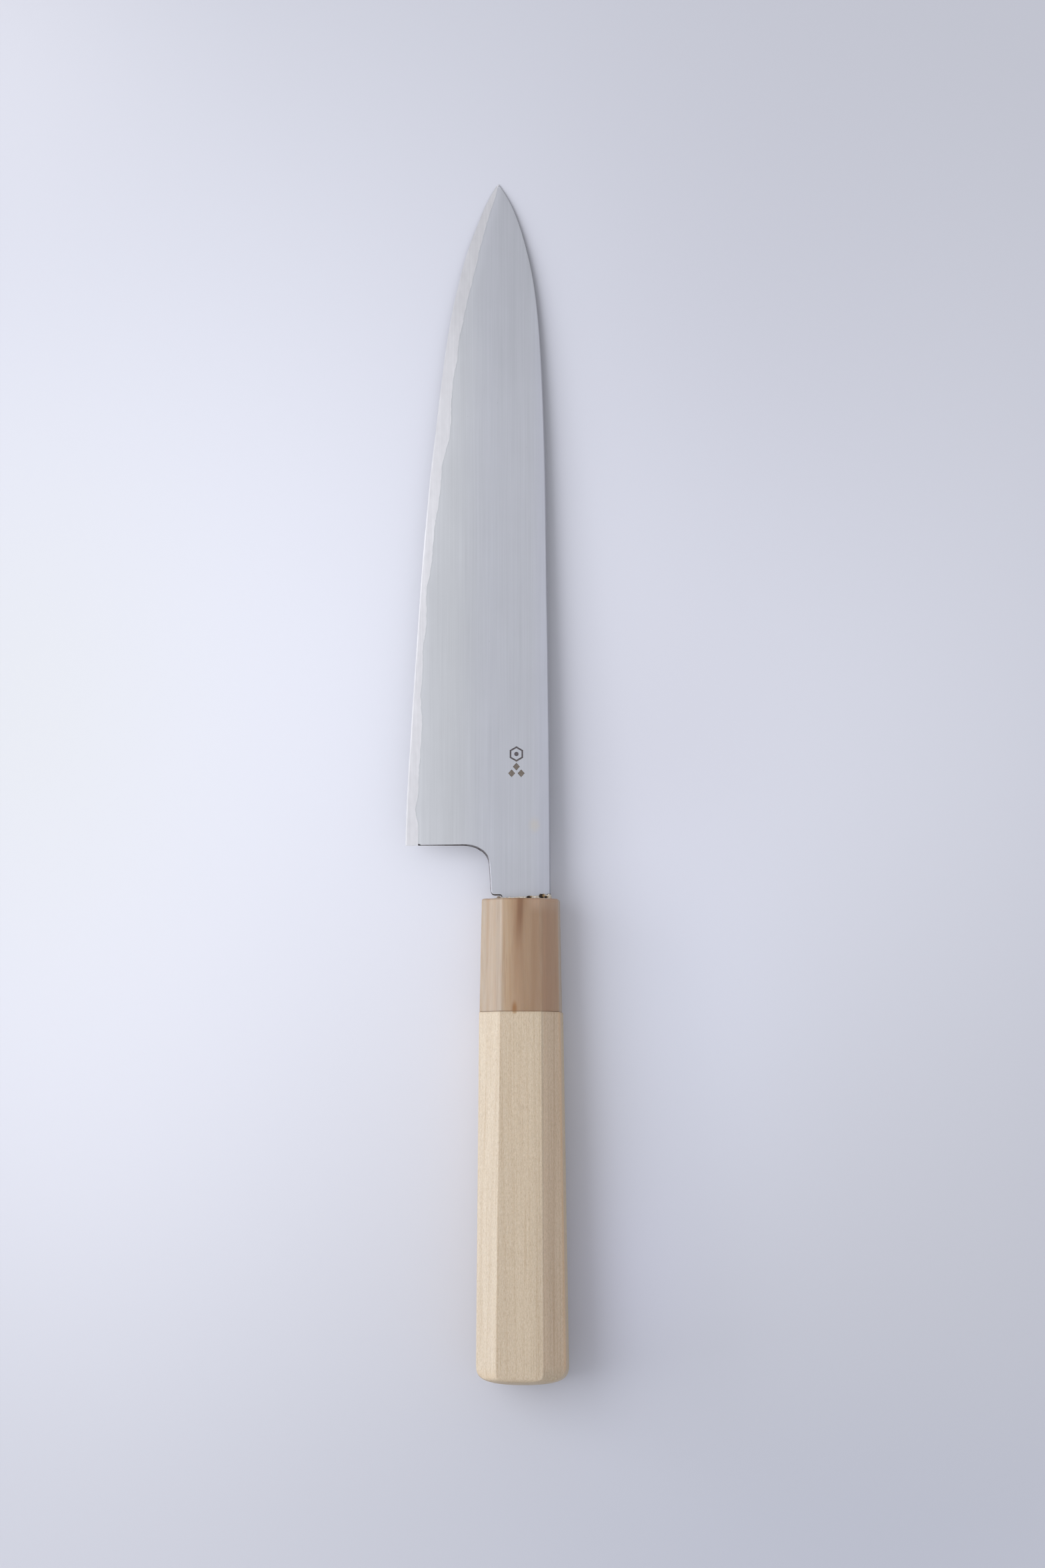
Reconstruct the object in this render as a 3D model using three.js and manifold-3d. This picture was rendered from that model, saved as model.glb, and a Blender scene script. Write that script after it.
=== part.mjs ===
// A Japanese pattern chef knife (wa-gyuto): a three-layer blade with a hidden tang, a horn ferrule and an
// octagonal wooden handle. Millimetres, +Z up.
//
// The knife is drawn in its own straight frame: the origin is the centre of the ferrule's front face, +Y runs
// towards the tip, -X towards the cutting edge, +Z towards the left face of the blade. The whole group is then
// laid down as the real knife lies on a table: its balance point is ahead of the ferrule, so it rests on the
// lower front edge of the ferrule and on the tip, with the butt of the handle just clear of the table. The
// origin is then the middle of the footprint, on the table.
import * as THREE from "three";
import { mergeVertices } from "three/addons/utils/BufferGeometryUtils.js";
import Module from "manifold-3d";

// ---- driving dimensions -------------------------------------------------------------------------------------
const HEEL_Y = 14.85; // heel of the blade, ahead of the ferrule
const TIP = [-6.25, 198.5];
const CORE_HALF = 0.22; // half thickness of the hard core layer
const LAYER_GAP = 0.015; // between the layers
const EDGE_HALF = 0.04; // half thickness of the very edge
const MICRO_BEVEL = 0.32; // width of the sharpened bevel
const MICRO_HALF = 0.075; // half thickness where the sharpened bevel ends
const SPINE_EASE = 0.3; // the corners of the spine are eased by this much
const TANG_END_Y = -95;
const TANG_MOUTH = [-5.38, 7.1]; // the tang's sides in X where it enters the handle
const TANG_TIP = [-2.4, 2.6];
const MACHI_Y = 1.05; // shoulders at the front of the tang

// half thickness at the spine, along Y
const SPINE_HALF = [
  [-95, 0.95], [-40, 1.2], [0, 1.45], [14.85, 1.28], [50, 1.1], [100, 0.95], [150, 0.73], [175, 0.56],
  [186, 0.44], [192, 0.33], [195.2, 0.262], [198.5, 0.12],
];
// cutting edge, [Y, X]
const EDGE = [
  [-95, -32.05], [14.85, -32.05], [22.4, -31.85], [34.2, -31.3], [46.1, -30.55], [57.9, -29.8], [69.7, -29.0],
  [81.6, -28.2], [93.4, -27.35], [105.3, -26.3], [117.1, -25.2], [128.9, -23.8], [140.8, -22.4], [152.6, -20.85],
  [158.5, -19.9], [164.5, -18.8], [170.4, -17.4], [176.3, -15.9], [182.2, -14.0], [188.2, -11.65],
  [192.0, -10.1], [195.2, -8.5], [197.4, -7.2], [198.5, -6.3],
];
// spine, [Y, X]
const SPINE = [
  [-95, 8.2], [1, 8.2], [16.5, 8.12], [40.1, 7.92], [63.8, 7.62], [87.5, 7.25], [111.2, 6.95], [125.8, 6.65],
  [137.8, 6.25], [149.7, 5.7], [158.5, 5.1], [164.5, 4.5], [170.4, 3.72], [176.3, 2.6], [182.2, 1.1],
  [186.2, -0.1], [189.4, -1.25], [192.0, -2.35], [195.2, -4.05], [197.4, -5.45], [198.5, -6.2],
];
// width of the bare band of core steel above the edge, [Y, width]
const BAND = [
  [-95, 3.5], [14.85, 3.5], [19.3, 3.5], [24.8, 2.4], [30.3, 3.05], [36, 2.9], [44, 2.95], [49.8, 2.9],
  [52.5, 2.4], [58, 2.0], [63.7, 2.1], [69.3, 1.7], [75, 2.25], [80.3, 2.1], [85.8, 1.65], [91.5, 2.4],
  [97, 2.5], [103, 2.45], [108.5, 2.85], [113.5, 3.1], [119.2, 2.95], [124.7, 3.4], [128, 4.0], [133, 3.9],
  [138.6, 3.3], [144, 3.15], [149.7, 3.5], [155, 3.2], [160.7, 3.5], [166.5, 3.45], [171.9, 3.5], [177.4, 3.4],
  [182.9, 2.9], [188.5, 2.2], [192, 1.9], [195.2, 1.7], [198.5, 0.05],
];
const BEVEL_POWER = 0.78; // how convex the blade face is between band and spine

// Handle sections along Y. The octagon is shaped by hand, so its eight corners are not quite even:
// [Y, left side, top left corner, top right corner, right side upper corner, right side lower corner, half height, half height of the side facets]
const FERRULE = [
  [0, -10.55, -5.15, 5.1, 9.95, 10.45, 8.95, 3.7],
  [-0.5, -10.9, -5.4, 5.35, 10.29, 10.8, 9.3, 3.9],
  [-31.4, -11.51, -5.85, 5.64, 10.58, 11.41, 9.8, 4.2],
];
const HANDLE = [
  [-31.43, -11.62, -5.87, 5.66, 10.77, 11.69, 9.87, 4.22],
  [-129.2, -12.48, -7.1, 6.18, 12.41, 13.32, 10.9, 5.1],
];
const BUTT_ROUNDING = [ // [Y, inset of the side facets, inset of the top and bottom]
  [-131.0, 0.3, 0.15], [-132.3, 1.15, 0.6], [-133.3, 2.5, 1.35], [-134.1, 4.6, 2.6], [-134.65, 7.4, 4.6],
];
const JOINT_Y = -31.4; // where ferrule and wood meet
const TENON_R = 7.9; // the wood's round tenon
const BORE_R = 7.95; // its hole through the ferrule
const TENON_FRONT_Y = -0.35;
const BED_WALL = 0.4; // resin around the tang
const BED_END_Y = -97;
const BED_FRONT_Y = -0.4;
const FIT = 0.03; // gap between pieces that touch
const SEAL_TOP_Y = 2.0; // how far the adhesive bead climbs up the neck

// resting pose of the whole knife
const REST_PITCH = 2.641; // degrees, tip down
const REST_SHIFT = [9.361, -31.749, 9.267]; // puts the origin in the middle of the footprint, on the table

// ---- helpers ------------------------------------------------------------------------------------------------
const wasm = await Module();
wasm.setup();

// piecewise-linear table look-up
function table(rows, y, column = 1) {
  if (y <= rows[0][0]) return rows[0][column];
  for (let i = 1; i < rows.length; i++)
    if (y <= rows[i][0]) {
      const a = rows[i - 1], b = rows[i], t = (y - a[0]) / (b[0] - a[0]);
      return a[column] + (b[column] - a[column]) * t;
    }
  return rows[rows.length - 1][column];
}

// a closed three.js geometry as a manifold solid
function solid(geometry) {
  const g = geometry.clone();
  g.deleteAttribute("normal");
  g.deleteAttribute("uv");
  const m = mergeVertices(g, 1e-5);
  return new wasm.Manifold(
    new wasm.Mesh({
      numProp: 3,
      vertProperties: new Float32Array(m.attributes.position.array),
      triVerts: new Uint32Array(m.index.array),
    }),
  );
}

// a manifold solid as a flat-shaded mesh
function toMesh(name, s, material) {
  const m = s.getMesh();
  const position = new Float32Array(m.numVert * 3);
  for (let i = 0; i < m.numVert; i++)
    position.set(m.vertProperties.subarray(i * m.numProp, i * m.numProp + 3), i * 3);
  const g = new THREE.BufferGeometry()
    .setAttribute("position", new THREE.BufferAttribute(position, 3))
    .setIndex(new THREE.BufferAttribute(new Uint32Array(m.triVerts), 1))
    .toNonIndexed();
  g.computeVertexNormals();
  const mesh = new THREE.Mesh(g, material);
  mesh.name = name;
  return mesh;
}

// a box of nu x nv cells whose grid corners are moved by place(i, j, side) -> [x, y, z]
function sheetBox(nu, nv, place) {
  const g = new THREE.BoxGeometry(1, 1, 1, nu, nv, 1);
  const p = g.attributes.position;
  for (let k = 0; k < p.count; k++)
    p.setXYZ(
      k,
      ...place(
        Math.round((p.getX(k) + 0.5) * nu),
        Math.round((p.getY(k) + 0.5) * nv),
        p.getZ(k) > 0 ? 1 : 0,
      ),
    );
  return g;
}

// a flat plate from an outline, through the given span of Z
function plate(shape, z0, z1, curveSegments = 8) {
  const g = new THREE.ExtrudeGeometry(shape, { depth: z1 - z0, bevelEnabled: false, curveSegments });
  return g.translate(0, 0, z0);
}

// an octagonal bar lofted through sections, running along -Y
function octagonBar(sections) {
  const n = sections.length - 1;
  const g = new THREE.CylinderGeometry(1, 1, 1, 8, n);
  const p = g.attributes.position;
  for (let k = 0; k < p.count; k++) {
    const [y, left, topLeft, topRight, rightUp, rightLow, top, side] = sections[Math.round((0.5 - p.getY(k)) * n)];
    const x = p.getX(k), z = p.getZ(k);
    if (Math.hypot(x, z) < 1e-3) {
      p.setXYZ(k, 0, y, 0);
      continue;
    }
    // corners 0..7 go round from +Z towards +X
    const corner = ((Math.round((Math.atan2(x, z) / Math.PI) * 4) % 8) + 8) % 8;
    const [cx, cz] = [
      [topRight, top], [rightUp, side], [rightLow, -side], [topRight, -top],
      [topLeft, -top], [left, -side], [left, side], [topLeft, top],
    ][corner];
    p.setXYZ(k, cx, y, cz);
  }
  return g;
}

// a section pulled in towards its centre
function inset(row, y, dx, dz) {
  const [, left, topLeft, topRight, rightUp, rightLow, top, side] = row;
  const k = 1 - dx / 12.9, kz = (top - dz) / top;
  return [y, left * k, topLeft * k, topRight * k, rightUp * k, rightLow * k, top * kz, side * kz * k];
}

// a round bar along Y
function roundBar(radius, y0, y1, segments = 40) {
  return new THREE.CylinderGeometry(radius, radius, y1 - y0, segments).translate(0, (y0 + y1) / 2, 0);
}

// ---- blade layers -------------------------------------------------------------------------------------------
const edgeX = (y) => table(EDGE, y);
const spineX = (y) => table(SPINE, y);
const bandWidth = (y) => table(BAND, y);
const spineHalf = (y) => table(SPINE_HALF, y);

// stations along the blade
const STATIONS = [
  -98, -60, -30, -8, 3, 10, 14.5, 19.3, 24.8, 30.3, 36, 44, 49.8, 52.5, 58, 63.7, 69.3, 75, 80.3, 85.8, 91.5, 97,
  103, 108.5, 113.5, 119.2, 124.7, 128, 133, 138.6, 144, 149.7, 155, 160.7, 166.5, 171.9, 177.4, 182.9, 186,
  188.5, 190.5, 192, 193.8, 195.2,
];
const CORE_STATIONS = [...STATIONS, 196.4, 197.4, 198.1, 198.5];
const ACROSS = [0, 0.07, 0.2, 0.38, 0.6, 0.8];

const faceZ = (s, y) =>
  CORE_HALF + LAYER_GAP + 0.012 + (spineHalf(y) - CORE_HALF - LAYER_GAP - 0.012) * Math.pow(s, BEVEL_POWER);

// one cladding: from the band's upper border to the spine, on the +Z side; grow makes it fatter for a cutter
function claddingGeometry(side) {
  const nu = ACROSS.length + 1, nv = STATIONS.length - 1;
  return sheetBox(nu, nv, (i, j, top) => {
    const y = STATIONS[j];
    const x0 = edgeX(y) + bandWidth(y), x1 = spineX(y), w = x1 - x0;
    const ease = Math.min(SPINE_EASE, 0.3 * spineHalf(y), 0.2 * w);
    const shoulder = 1 - ease / w;
    const s = i < ACROSS.length ? ACROSS[i] : i === ACROSS.length ? shoulder : 1;
    const outer = i > ACROSS.length ? faceZ(1, y) - ease * 0.9 : faceZ(s, y);
    const inner = CORE_HALF + LAYER_GAP;
    const z = side > 0 ? (top ? Math.max(outer, inner + 0.01) : inner) : top ? -inner : -Math.max(outer, inner + 0.01);
    return [x0 + w * s, y, z];
  });
}

// the core: thin at the edge, flat above the band
function coreGeometry() {
  const nv = CORE_STATIONS.length - 1;
  return sheetBox(3, nv, (i, j, top) => {
    const y = CORE_STATIONS[j];
    const x0 = edgeX(y), x1 = spineX(y), w = x1 - x0;
    const cap = Math.min(CORE_HALF, spineHalf(y));
    const micro = Math.min(MICRO_BEVEL, 0.2 * w), band = Math.min(bandWidth(y), 0.6 * w);
    const x = [x0, x0 + micro, x0 + Math.max(band, micro * 1.5), x1][i];
    const z = [EDGE_HALF, Math.min(MICRO_HALF, cap * 0.6), cap, cap][i];
    return [x, y, top ? z : -z];
  });
}

// everything behind the blade that is not steel: the finger notch below the neck, and round the tang
function notchShape(grow = 0) {
  const s = new THREE.Shape();
  s.moveTo(-60, HEEL_Y - grow);
  s.lineTo(-16.2, HEEL_Y - 0.03 - grow);
  s.bezierCurveTo(-12.4, HEEL_Y - 0.1 - grow, -9.4 - grow, 13.0, -8.95 - grow, 9.9);
  s.lineTo(-8.42 - grow, 2.2);
  s.quadraticCurveTo(-8.3 - grow, MACHI_Y - grow, -7.2 - grow, MACHI_Y - grow);
  s.lineTo(TANG_MOUTH[0] - 0.5 - grow, MACHI_Y - grow);
  s.quadraticCurveTo(TANG_MOUTH[0] - grow, MACHI_Y - grow, TANG_MOUTH[0] - grow, MACHI_Y - 0.6 - grow);
  s.lineTo(TANG_TIP[0] - grow, TANG_END_Y + 2);
  s.lineTo(TANG_TIP[0] + 1.2 - grow, TANG_END_Y - grow);
  s.lineTo(TANG_TIP[1] - 1.2 + grow, TANG_END_Y - grow);
  s.lineTo(TANG_TIP[1] + grow, TANG_END_Y + 2);
  s.lineTo(TANG_MOUTH[1] + grow, MACHI_Y - 0.4 - grow);
  s.lineTo(TANG_MOUTH[1] + 0.3 + grow, MACHI_Y + 0.1 - grow);
  s.lineTo(30, MACHI_Y + 0.1 - grow);
  s.lineTo(30, -110);
  s.lineTo(-60, -110);
  s.closePath();
  return s;
}
const notch = solid(plate(notchShape(), -5, 5));

const core = solid(coreGeometry()).subtract(notch);
const claddingLeft = solid(claddingGeometry(1)).subtract(notch);
const claddingRight = solid(claddingGeometry(-1)).subtract(notch);

// ---- handle -------------------------------------------------------------------------------------------------
// the slot that the tang and its resin fill: a tapered block round the tang, grown by the given wall
function tangBlock(wall, yFront, yEnd) {
  const rows = [yEnd, -86, -76, -66, -57, -48, -40, -32, -24, -16, -8, 0, yFront];
  if (yFront <= 0) rows.splice(-2, 1);
  return sheetBox(3, rows.length - 1, (i, j, top) => {
    const y = rows[j];
    const t = Math.min(1, Math.max(0, (y - TANG_END_Y) / (MACHI_Y - 0.6 - TANG_END_Y)));
    const lo = TANG_TIP[0] + (TANG_MOUTH[0] - TANG_TIP[0]) * t - wall;
    const hi = TANG_TIP[1] + (TANG_MOUTH[1] - TANG_TIP[1]) * t + wall;
    const half = spineHalf(Math.min(y, 0)) + wall;
    return [lo + ((hi - lo) * i) / 3, y, top ? half : -half];
  });
}

const tangRoom = solid(tangBlock(FIT, 3, TANG_END_Y - FIT)); // hole in the resin, just clear of the tang
const resinBlock = solid(tangBlock(BED_WALL, BED_FRONT_Y, BED_END_Y));
const slot = solid(tangBlock(BED_WALL + FIT, 3, BED_END_Y - FIT)); // hole in the wood
const bedding = resinBlock.subtract(tangRoom);

const ferrule = solid(octagonBar(FERRULE)).subtract(solid(roundBar(BORE_R, JOINT_Y - 2, 2)));

const butt = HANDLE[HANDLE.length - 1];
const bodyBar = solid(octagonBar([...HANDLE, ...BUTT_ROUNDING.map(([y, dx, dz]) => inset(butt, y, dx, dz))]));
const handle = bodyBar.add(solid(roundBar(TENON_R, JOINT_Y - 3, TENON_FRONT_Y))).subtract(slot);

// the adhesive bead round the neck at the mouth of the ferrule
function sealGeometry() {
  const rows = [
    // [Y, low X, high X, half Z]
    [SEAL_TOP_Y, -5.4, 7.0, 1.62],
    [1.1, -6.6, 7.9, 2.1],
    [0.35, -6.9, 8.2, 2.5],
    [FIT, -6.7, 8.0, 2.4],
  ].reverse();
  return sheetBox(5, rows.length - 1, (i, j, top) => {
    const [y, lo, hi, half] = rows[j];
    const s = i / 5;
    const round = Math.sin(Math.PI * Math.min(Math.max(s, 0.14), 0.86));
    return [lo + (hi - lo) * s, y, (top ? 1 : -1) * half * (0.75 + 0.25 * Math.min(1, round * 1.15))];
  });
}
// room for the steel inside the bead: neck above the shoulders, tang below them
const neckRoom = solid(sheetBox(1, 1, (i, j, top) => [i ? 12 : -12, j ? 4 : -2, top ? 1.5 : -1.5])).subtract(
  solid(plate(notchShape(0.05), -5, 5)),
);
const seal = solid(sealGeometry()).subtract(neckRoom);

// ---- assembly -----------------------------------------------------------------------------------------------
const steelCore = new THREE.MeshStandardMaterial({ color: 0xc9c8c4, roughness: 0.28, metalness: 1 });
const steelCladLeft = new THREE.MeshStandardMaterial({ color: 0xb4b8c0, roughness: 0.4, metalness: 1 });
const steelCladRight = new THREE.MeshStandardMaterial({ color: 0xb4b8c0, roughness: 0.4, metalness: 1 });
const horn = new THREE.MeshStandardMaterial({ color: 0xb3967a, roughness: 0.35, metalness: 0 });
const wood = new THREE.MeshStandardMaterial({ color: 0xd9c9a6, roughness: 0.7, metalness: 0 });
const resin = new THREE.MeshStandardMaterial({ color: 0x7a5a34, roughness: 0.6, metalness: 0 });
const bead = new THREE.MeshStandardMaterial({ color: 0xd8cfbd, roughness: 0.85, metalness: 0 });

const blade = new THREE.Group();
blade.add(
  toMesh("blade_core_steel", core, steelCore),
  toMesh("blade_cladding_left", claddingLeft, steelCladLeft),
  toMesh("blade_cladding_right", claddingRight, steelCladRight),
);
const handleGroup = new THREE.Group();
handleGroup.add(
  toMesh("horn_ferrule", ferrule, horn),
  toMesh("handle_body", handle, wood),
  toMesh("tang_bedding", bedding, resin),
  toMesh("mouth_seal", seal, bead),
);

const group = new THREE.Group();
group.add(blade, handleGroup);
group.rotation.x = THREE.MathUtils.degToRad(-REST_PITCH);
group.position.set(...REST_SHIFT);

const knife = new THREE.Group();
knife.add(group);
export default knife;
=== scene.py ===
import math

import bpy
import numpy as np
from mathutils import Matrix, Vector, noise
from mathutils.geometry import delaunay_2d_cdt


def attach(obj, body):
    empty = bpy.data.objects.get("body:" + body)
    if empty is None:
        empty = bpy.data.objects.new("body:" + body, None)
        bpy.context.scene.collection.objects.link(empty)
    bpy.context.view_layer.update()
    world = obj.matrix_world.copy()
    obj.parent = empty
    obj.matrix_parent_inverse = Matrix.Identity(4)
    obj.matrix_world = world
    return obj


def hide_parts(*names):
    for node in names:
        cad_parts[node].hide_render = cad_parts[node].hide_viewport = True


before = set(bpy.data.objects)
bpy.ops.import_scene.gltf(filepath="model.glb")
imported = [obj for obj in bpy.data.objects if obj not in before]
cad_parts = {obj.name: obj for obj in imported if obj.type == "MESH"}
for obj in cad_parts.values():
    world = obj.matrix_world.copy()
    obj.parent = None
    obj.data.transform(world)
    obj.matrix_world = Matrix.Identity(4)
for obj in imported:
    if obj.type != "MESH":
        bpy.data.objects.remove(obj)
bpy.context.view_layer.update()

MM = 0.001
PITCH = math.radians(2.641)
SHIFT = np.array([9.361, -31.749, 9.267])
ROT = np.array(
    [
        [1, 0, 0],
        [0, math.cos(PITCH), math.sin(PITCH)],
        [0, -math.sin(PITCH), math.cos(PITCH)],
    ]
)

# ---- driving dimensions (mm) --------------------------------------------------------------------------------
HEEL_Y = 14.85
TIP_Y = 198.46
SPINE_HALF = [
    (-95, 0.95), (-40, 1.2), (0, 1.45), (14.85, 1.28), (50, 1.1), (100, 0.95), (150, 0.73), (175, 0.56),
    (186, 0.44), (192, 0.33), (195.2, 0.25), (198.5, 0.11),
]
EDGE = [
    (-95, -32.03), (14.85, -32.03), (22.4, -31.85), (34.2, -31.3), (46.1, -30.55), (57.9, -29.8), (69.7, -29.0),
    (81.6, -28.2), (93.4, -27.35), (105.3, -26.3), (117.1, -25.2), (128.9, -23.8), (140.8, -22.4),
    (152.6, -20.85), (158.5, -19.9), (164.5, -18.8), (170.4, -17.4), (176.3, -15.9), (182.2, -14.0),
    (188.2, -11.65), (192.0, -10.1), (195.2, -8.5), (197.4, -7.2), (198.5, -6.3),
]
SPINE = [
    (-95, 8.2), (1, 8.2), (16.5, 8.12), (40.1, 7.92), (63.8, 7.62), (87.5, 7.25), (111.2, 6.95), (125.8, 6.65),
    (137.8, 6.25), (149.7, 5.7), (158.5, 5.1), (164.5, 4.5), (170.4, 3.72), (176.3, 2.6), (182.2, 1.1),
    (186.2, -0.1), (189.4, -1.25), (192.0, -2.35), (195.2, -4.05), (197.4, -5.45), (198.5, -6.2),
]
BAND = [
    (-95, 3.5), (14.85, 3.5), (19.3, 3.5), (24.8, 2.4), (30.3, 3.05), (36, 2.9), (44, 2.95), (49.8, 2.9),
    (52.5, 2.4), (58, 2.0), (63.7, 2.1), (69.3, 1.7), (75, 2.25), (80.3, 2.1), (85.8, 1.65), (91.5, 2.4),
    (97, 2.5), (103, 2.45), (108.5, 2.85), (113.5, 3.1), (119.2, 2.95), (124.7, 3.4), (128, 4.0), (133, 3.9),
    (138.6, 3.3), (144, 3.15), (149.7, 3.5), (155, 3.2), (160.7, 3.5), (166.5, 3.45), (171.9, 3.5),
    (177.4, 3.4), (182.9, 2.9), (188.5, 2.2), (192, 1.9), (195.2, 1.4), (197.4, 0.6), (198.5, 0.03),
]
# [Y, left, top left, top right, right upper, right lower, half height, half height of the side facets]
FERRULE = [
    (0, -10.89, -5.395, 5.345, 10.285, 10.79, 9.292, 3.895),
    (-31.4, -11.51, -5.85, 5.64, 10.58, 11.41, 9.8, 4.2),
]
HANDLE = [
    (-31.43, -11.62, -5.87, 5.66, 10.77, 11.69, 9.87, 4.22),
    (-129.2, -12.48, -7.1, 6.18, 12.41, 13.32, 10.9, 5.1),
]
JOINT_Y = -31.4
TENON_R = 7.9
BORE_R = 7.95


def pchip(rows, column=1):
    """A smooth curve through the rows that never overshoots them."""
    xs = np.array([r[0] for r in rows], float)
    ys = np.array([r[column] for r in rows], float)
    h, d = np.diff(xs), np.diff(ys) / np.diff(xs)
    m = np.zeros_like(ys)
    for i in range(1, len(xs) - 1):
        if d[i - 1] * d[i] > 0:
            w1, w2 = 2 * h[i] + h[i - 1], h[i] + 2 * h[i - 1]
            m[i] = (w1 + w2) / (w1 / d[i - 1] + w2 / d[i])
    m[0], m[-1] = d[0], d[-1]

    def at(q):
        q = np.clip(np.asarray(q, float), xs[0], xs[-1])
        i = np.clip(np.searchsorted(xs, q, side="right") - 1, 0, len(h) - 1)
        t = (q - xs[i]) / h[i]
        return (
            (1 + 2 * t) * (1 - t) ** 2 * ys[i]
            + t * (1 - t) ** 2 * h[i] * m[i]
            + t * t * (3 - 2 * t) * ys[i + 1]
            + t * t * (t - 1) * h[i] * m[i + 1]
        )

    return at


def noise1(values, scale, seed):
    """Smooth one-dimensional noise of about +-1."""
    return np.array(
        [noise.noise(Vector((float(v) * scale, seed * 7.31, seed * 3.17))) for v in np.atleast_1d(values)]
    )


edge_x, spine_x, spine_half, band_table = pchip(EDGE), pchip(SPINE), pchip(SPINE_HALF), pchip(BAND)


def fine_band(side):
    """The width of the bare core band with the fine wander of a forge-welded line."""
    ys = np.arange(14.0, 199.0, 0.35)
    fade = np.clip((198.3 - ys) / 12, 0, 1) * np.clip((ys - 12) / 4, 0, 1)
    w = band_table(ys) + fade * (
        0.16 * noise1(ys, 0.42, 3 + side) + 0.11 * noise1(ys, 1.1, 5 + side) + (0.35 * noise1(ys, 0.07, 9) if side < 0 else 0)
    )
    return lambda q: np.interp(q, ys, w)


band = {1: fine_band(1), -1: fine_band(-1)}


# ---- mesh helpers -------------------------------------------------------------------------------------------
def make_object(name, verts, faces, normals=None, uvs=None, attributes=None, materials=(), face_material=None):
    """A mesh object from millimetre points in the knife's frame, laid down in the resting pose."""
    verts = np.asarray(verts, float)
    world = (verts @ ROT.T + SHIFT) * MM
    mesh = bpy.data.meshes.new(name)
    mesh.from_pydata(world.tolist(), [], [tuple(int(i) for i in f) for f in faces])
    mesh.update()
    for m in materials:
        mesh.materials.append(m)
    if face_material is not None:
        mesh.polygons.foreach_set("material_index", np.asarray(face_material, np.int32))
    mesh.polygons.foreach_set("use_smooth", np.ones(len(mesh.polygons), bool))
    for key, values in (attributes or {}).items():
        a = mesh.attributes.new(key, "FLOAT", "POINT")
        a.data.foreach_set("value", np.asarray(values, np.float32))
    if uvs is not None:
        layer = mesh.uv_layers.new(name="brush")
        layer.data.foreach_set("uv", np.asarray(uvs, np.float32).ravel())
    if normals is not None:
        n = np.asarray(normals, float) @ ROT.T
        n /= np.maximum(np.linalg.norm(n, axis=1, keepdims=True), 1e-9)
        mesh.normals_split_custom_set(n.tolist())
    o = bpy.data.objects.new(name, mesh)
    bpy.context.scene.collection.objects.link(o)
    return o


def face_area_vectors(verts, faces):
    out = np.zeros((len(faces), 3))
    for k, f in enumerate(faces):
        p = verts[list(f)]
        out[k] = 0.5 * np.cross(p, np.roll(p, -1, axis=0)).sum(0)
    return out


def grouped_normals(verts, faces, groups):
    """Loop normals: at each vertex the area-weighted mean over the faces of the same smooth group."""
    verts = np.asarray(verts, float)
    areas = face_area_vectors(verts, faces)
    total = np.zeros((max(groups) + 1, len(verts), 3))
    for f, g, a in zip(faces, groups, areas):
        for i in f:
            total[g, i] += a
    return np.array([total[g, i] for f, g in zip(faces, groups) for i in f])


class Loft:
    """A closed solid made of rings that all have the same number of points."""

    def __init__(self):
        self.v, self.f, self.g, self.m = [], [], [], []
        self.arris = []  # 1 on the rounded facet edges, 0 on the flats

    def ring(self, points, faceted=False):
        start = len(self.v)
        self.v.extend([list(map(float, p)) for p in points])
        n = len(points)
        self.arris += [CREST[i % (ARC + FLAT)] if faceted else 0.0 for i in range(n)]
        return list(range(start, len(self.v)))

    def strip(self, a, b, group=0, material=0):
        n = len(a)
        for i in range(n):
            j = (i + 1) % n
            self.f.append((a[i], a[j], b[j], b[i]))
            self.g.append(group)
            self.m.append(material)

    def fan(self, ring, centre, group=0, first=False, material=0):
        c = len(self.v)
        self.v.append(list(map(float, centre)))
        self.arris.append(0.0)
        n = len(ring)
        for i in range(n):
            j = (i + 1) % n
            self.f.append((ring[j], ring[i], c) if first else (ring[i], ring[j], c))
            self.g.append(group)
            self.m.append(material)

    def build(self, name, materials):
        v = np.array(self.v)
        areas = face_area_vectors(v, self.f)
        centres = np.array([v[list(f)].mean(0) for f in self.f])
        if (areas * centres).sum() < 0:
            self.f = [tuple(reversed(f)) for f in self.f]
        n = grouped_normals(v, self.f, self.g)
        uvs = [(v[i][0] * 0.1, v[i][1] * 0.1) for f in self.f for i in f]
        return make_object(name, v, self.f, n, uvs, {"arris": self.arris}, materials, self.m)


def interpolate_row(rows, y):
    ys = [r[0] for r in rows]
    if ys[0] > ys[-1]:
        ys = [-q for q in ys]
        q = -y
    else:
        q = y
    return [y] + [float(np.interp(q, ys, [r[c] for r in rows])) for c in range(1, 8)]


def inset_row(row, y, dx, dz):
    _, left, tl, tr, ru, rl, top, side = row
    k, kz = 1 - dx / 12.9, (top - dz) / top
    return [y, left * k, tl * k, tr * k, ru * k, rl * k, top * kz, side * kz * k]


ARC, FLAT = 5, 7  # points on each rounded corner, and between two corners
CREST = [0.3, 0.8, 1.0, 0.8, 0.3] + [0.0] * FLAT


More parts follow.
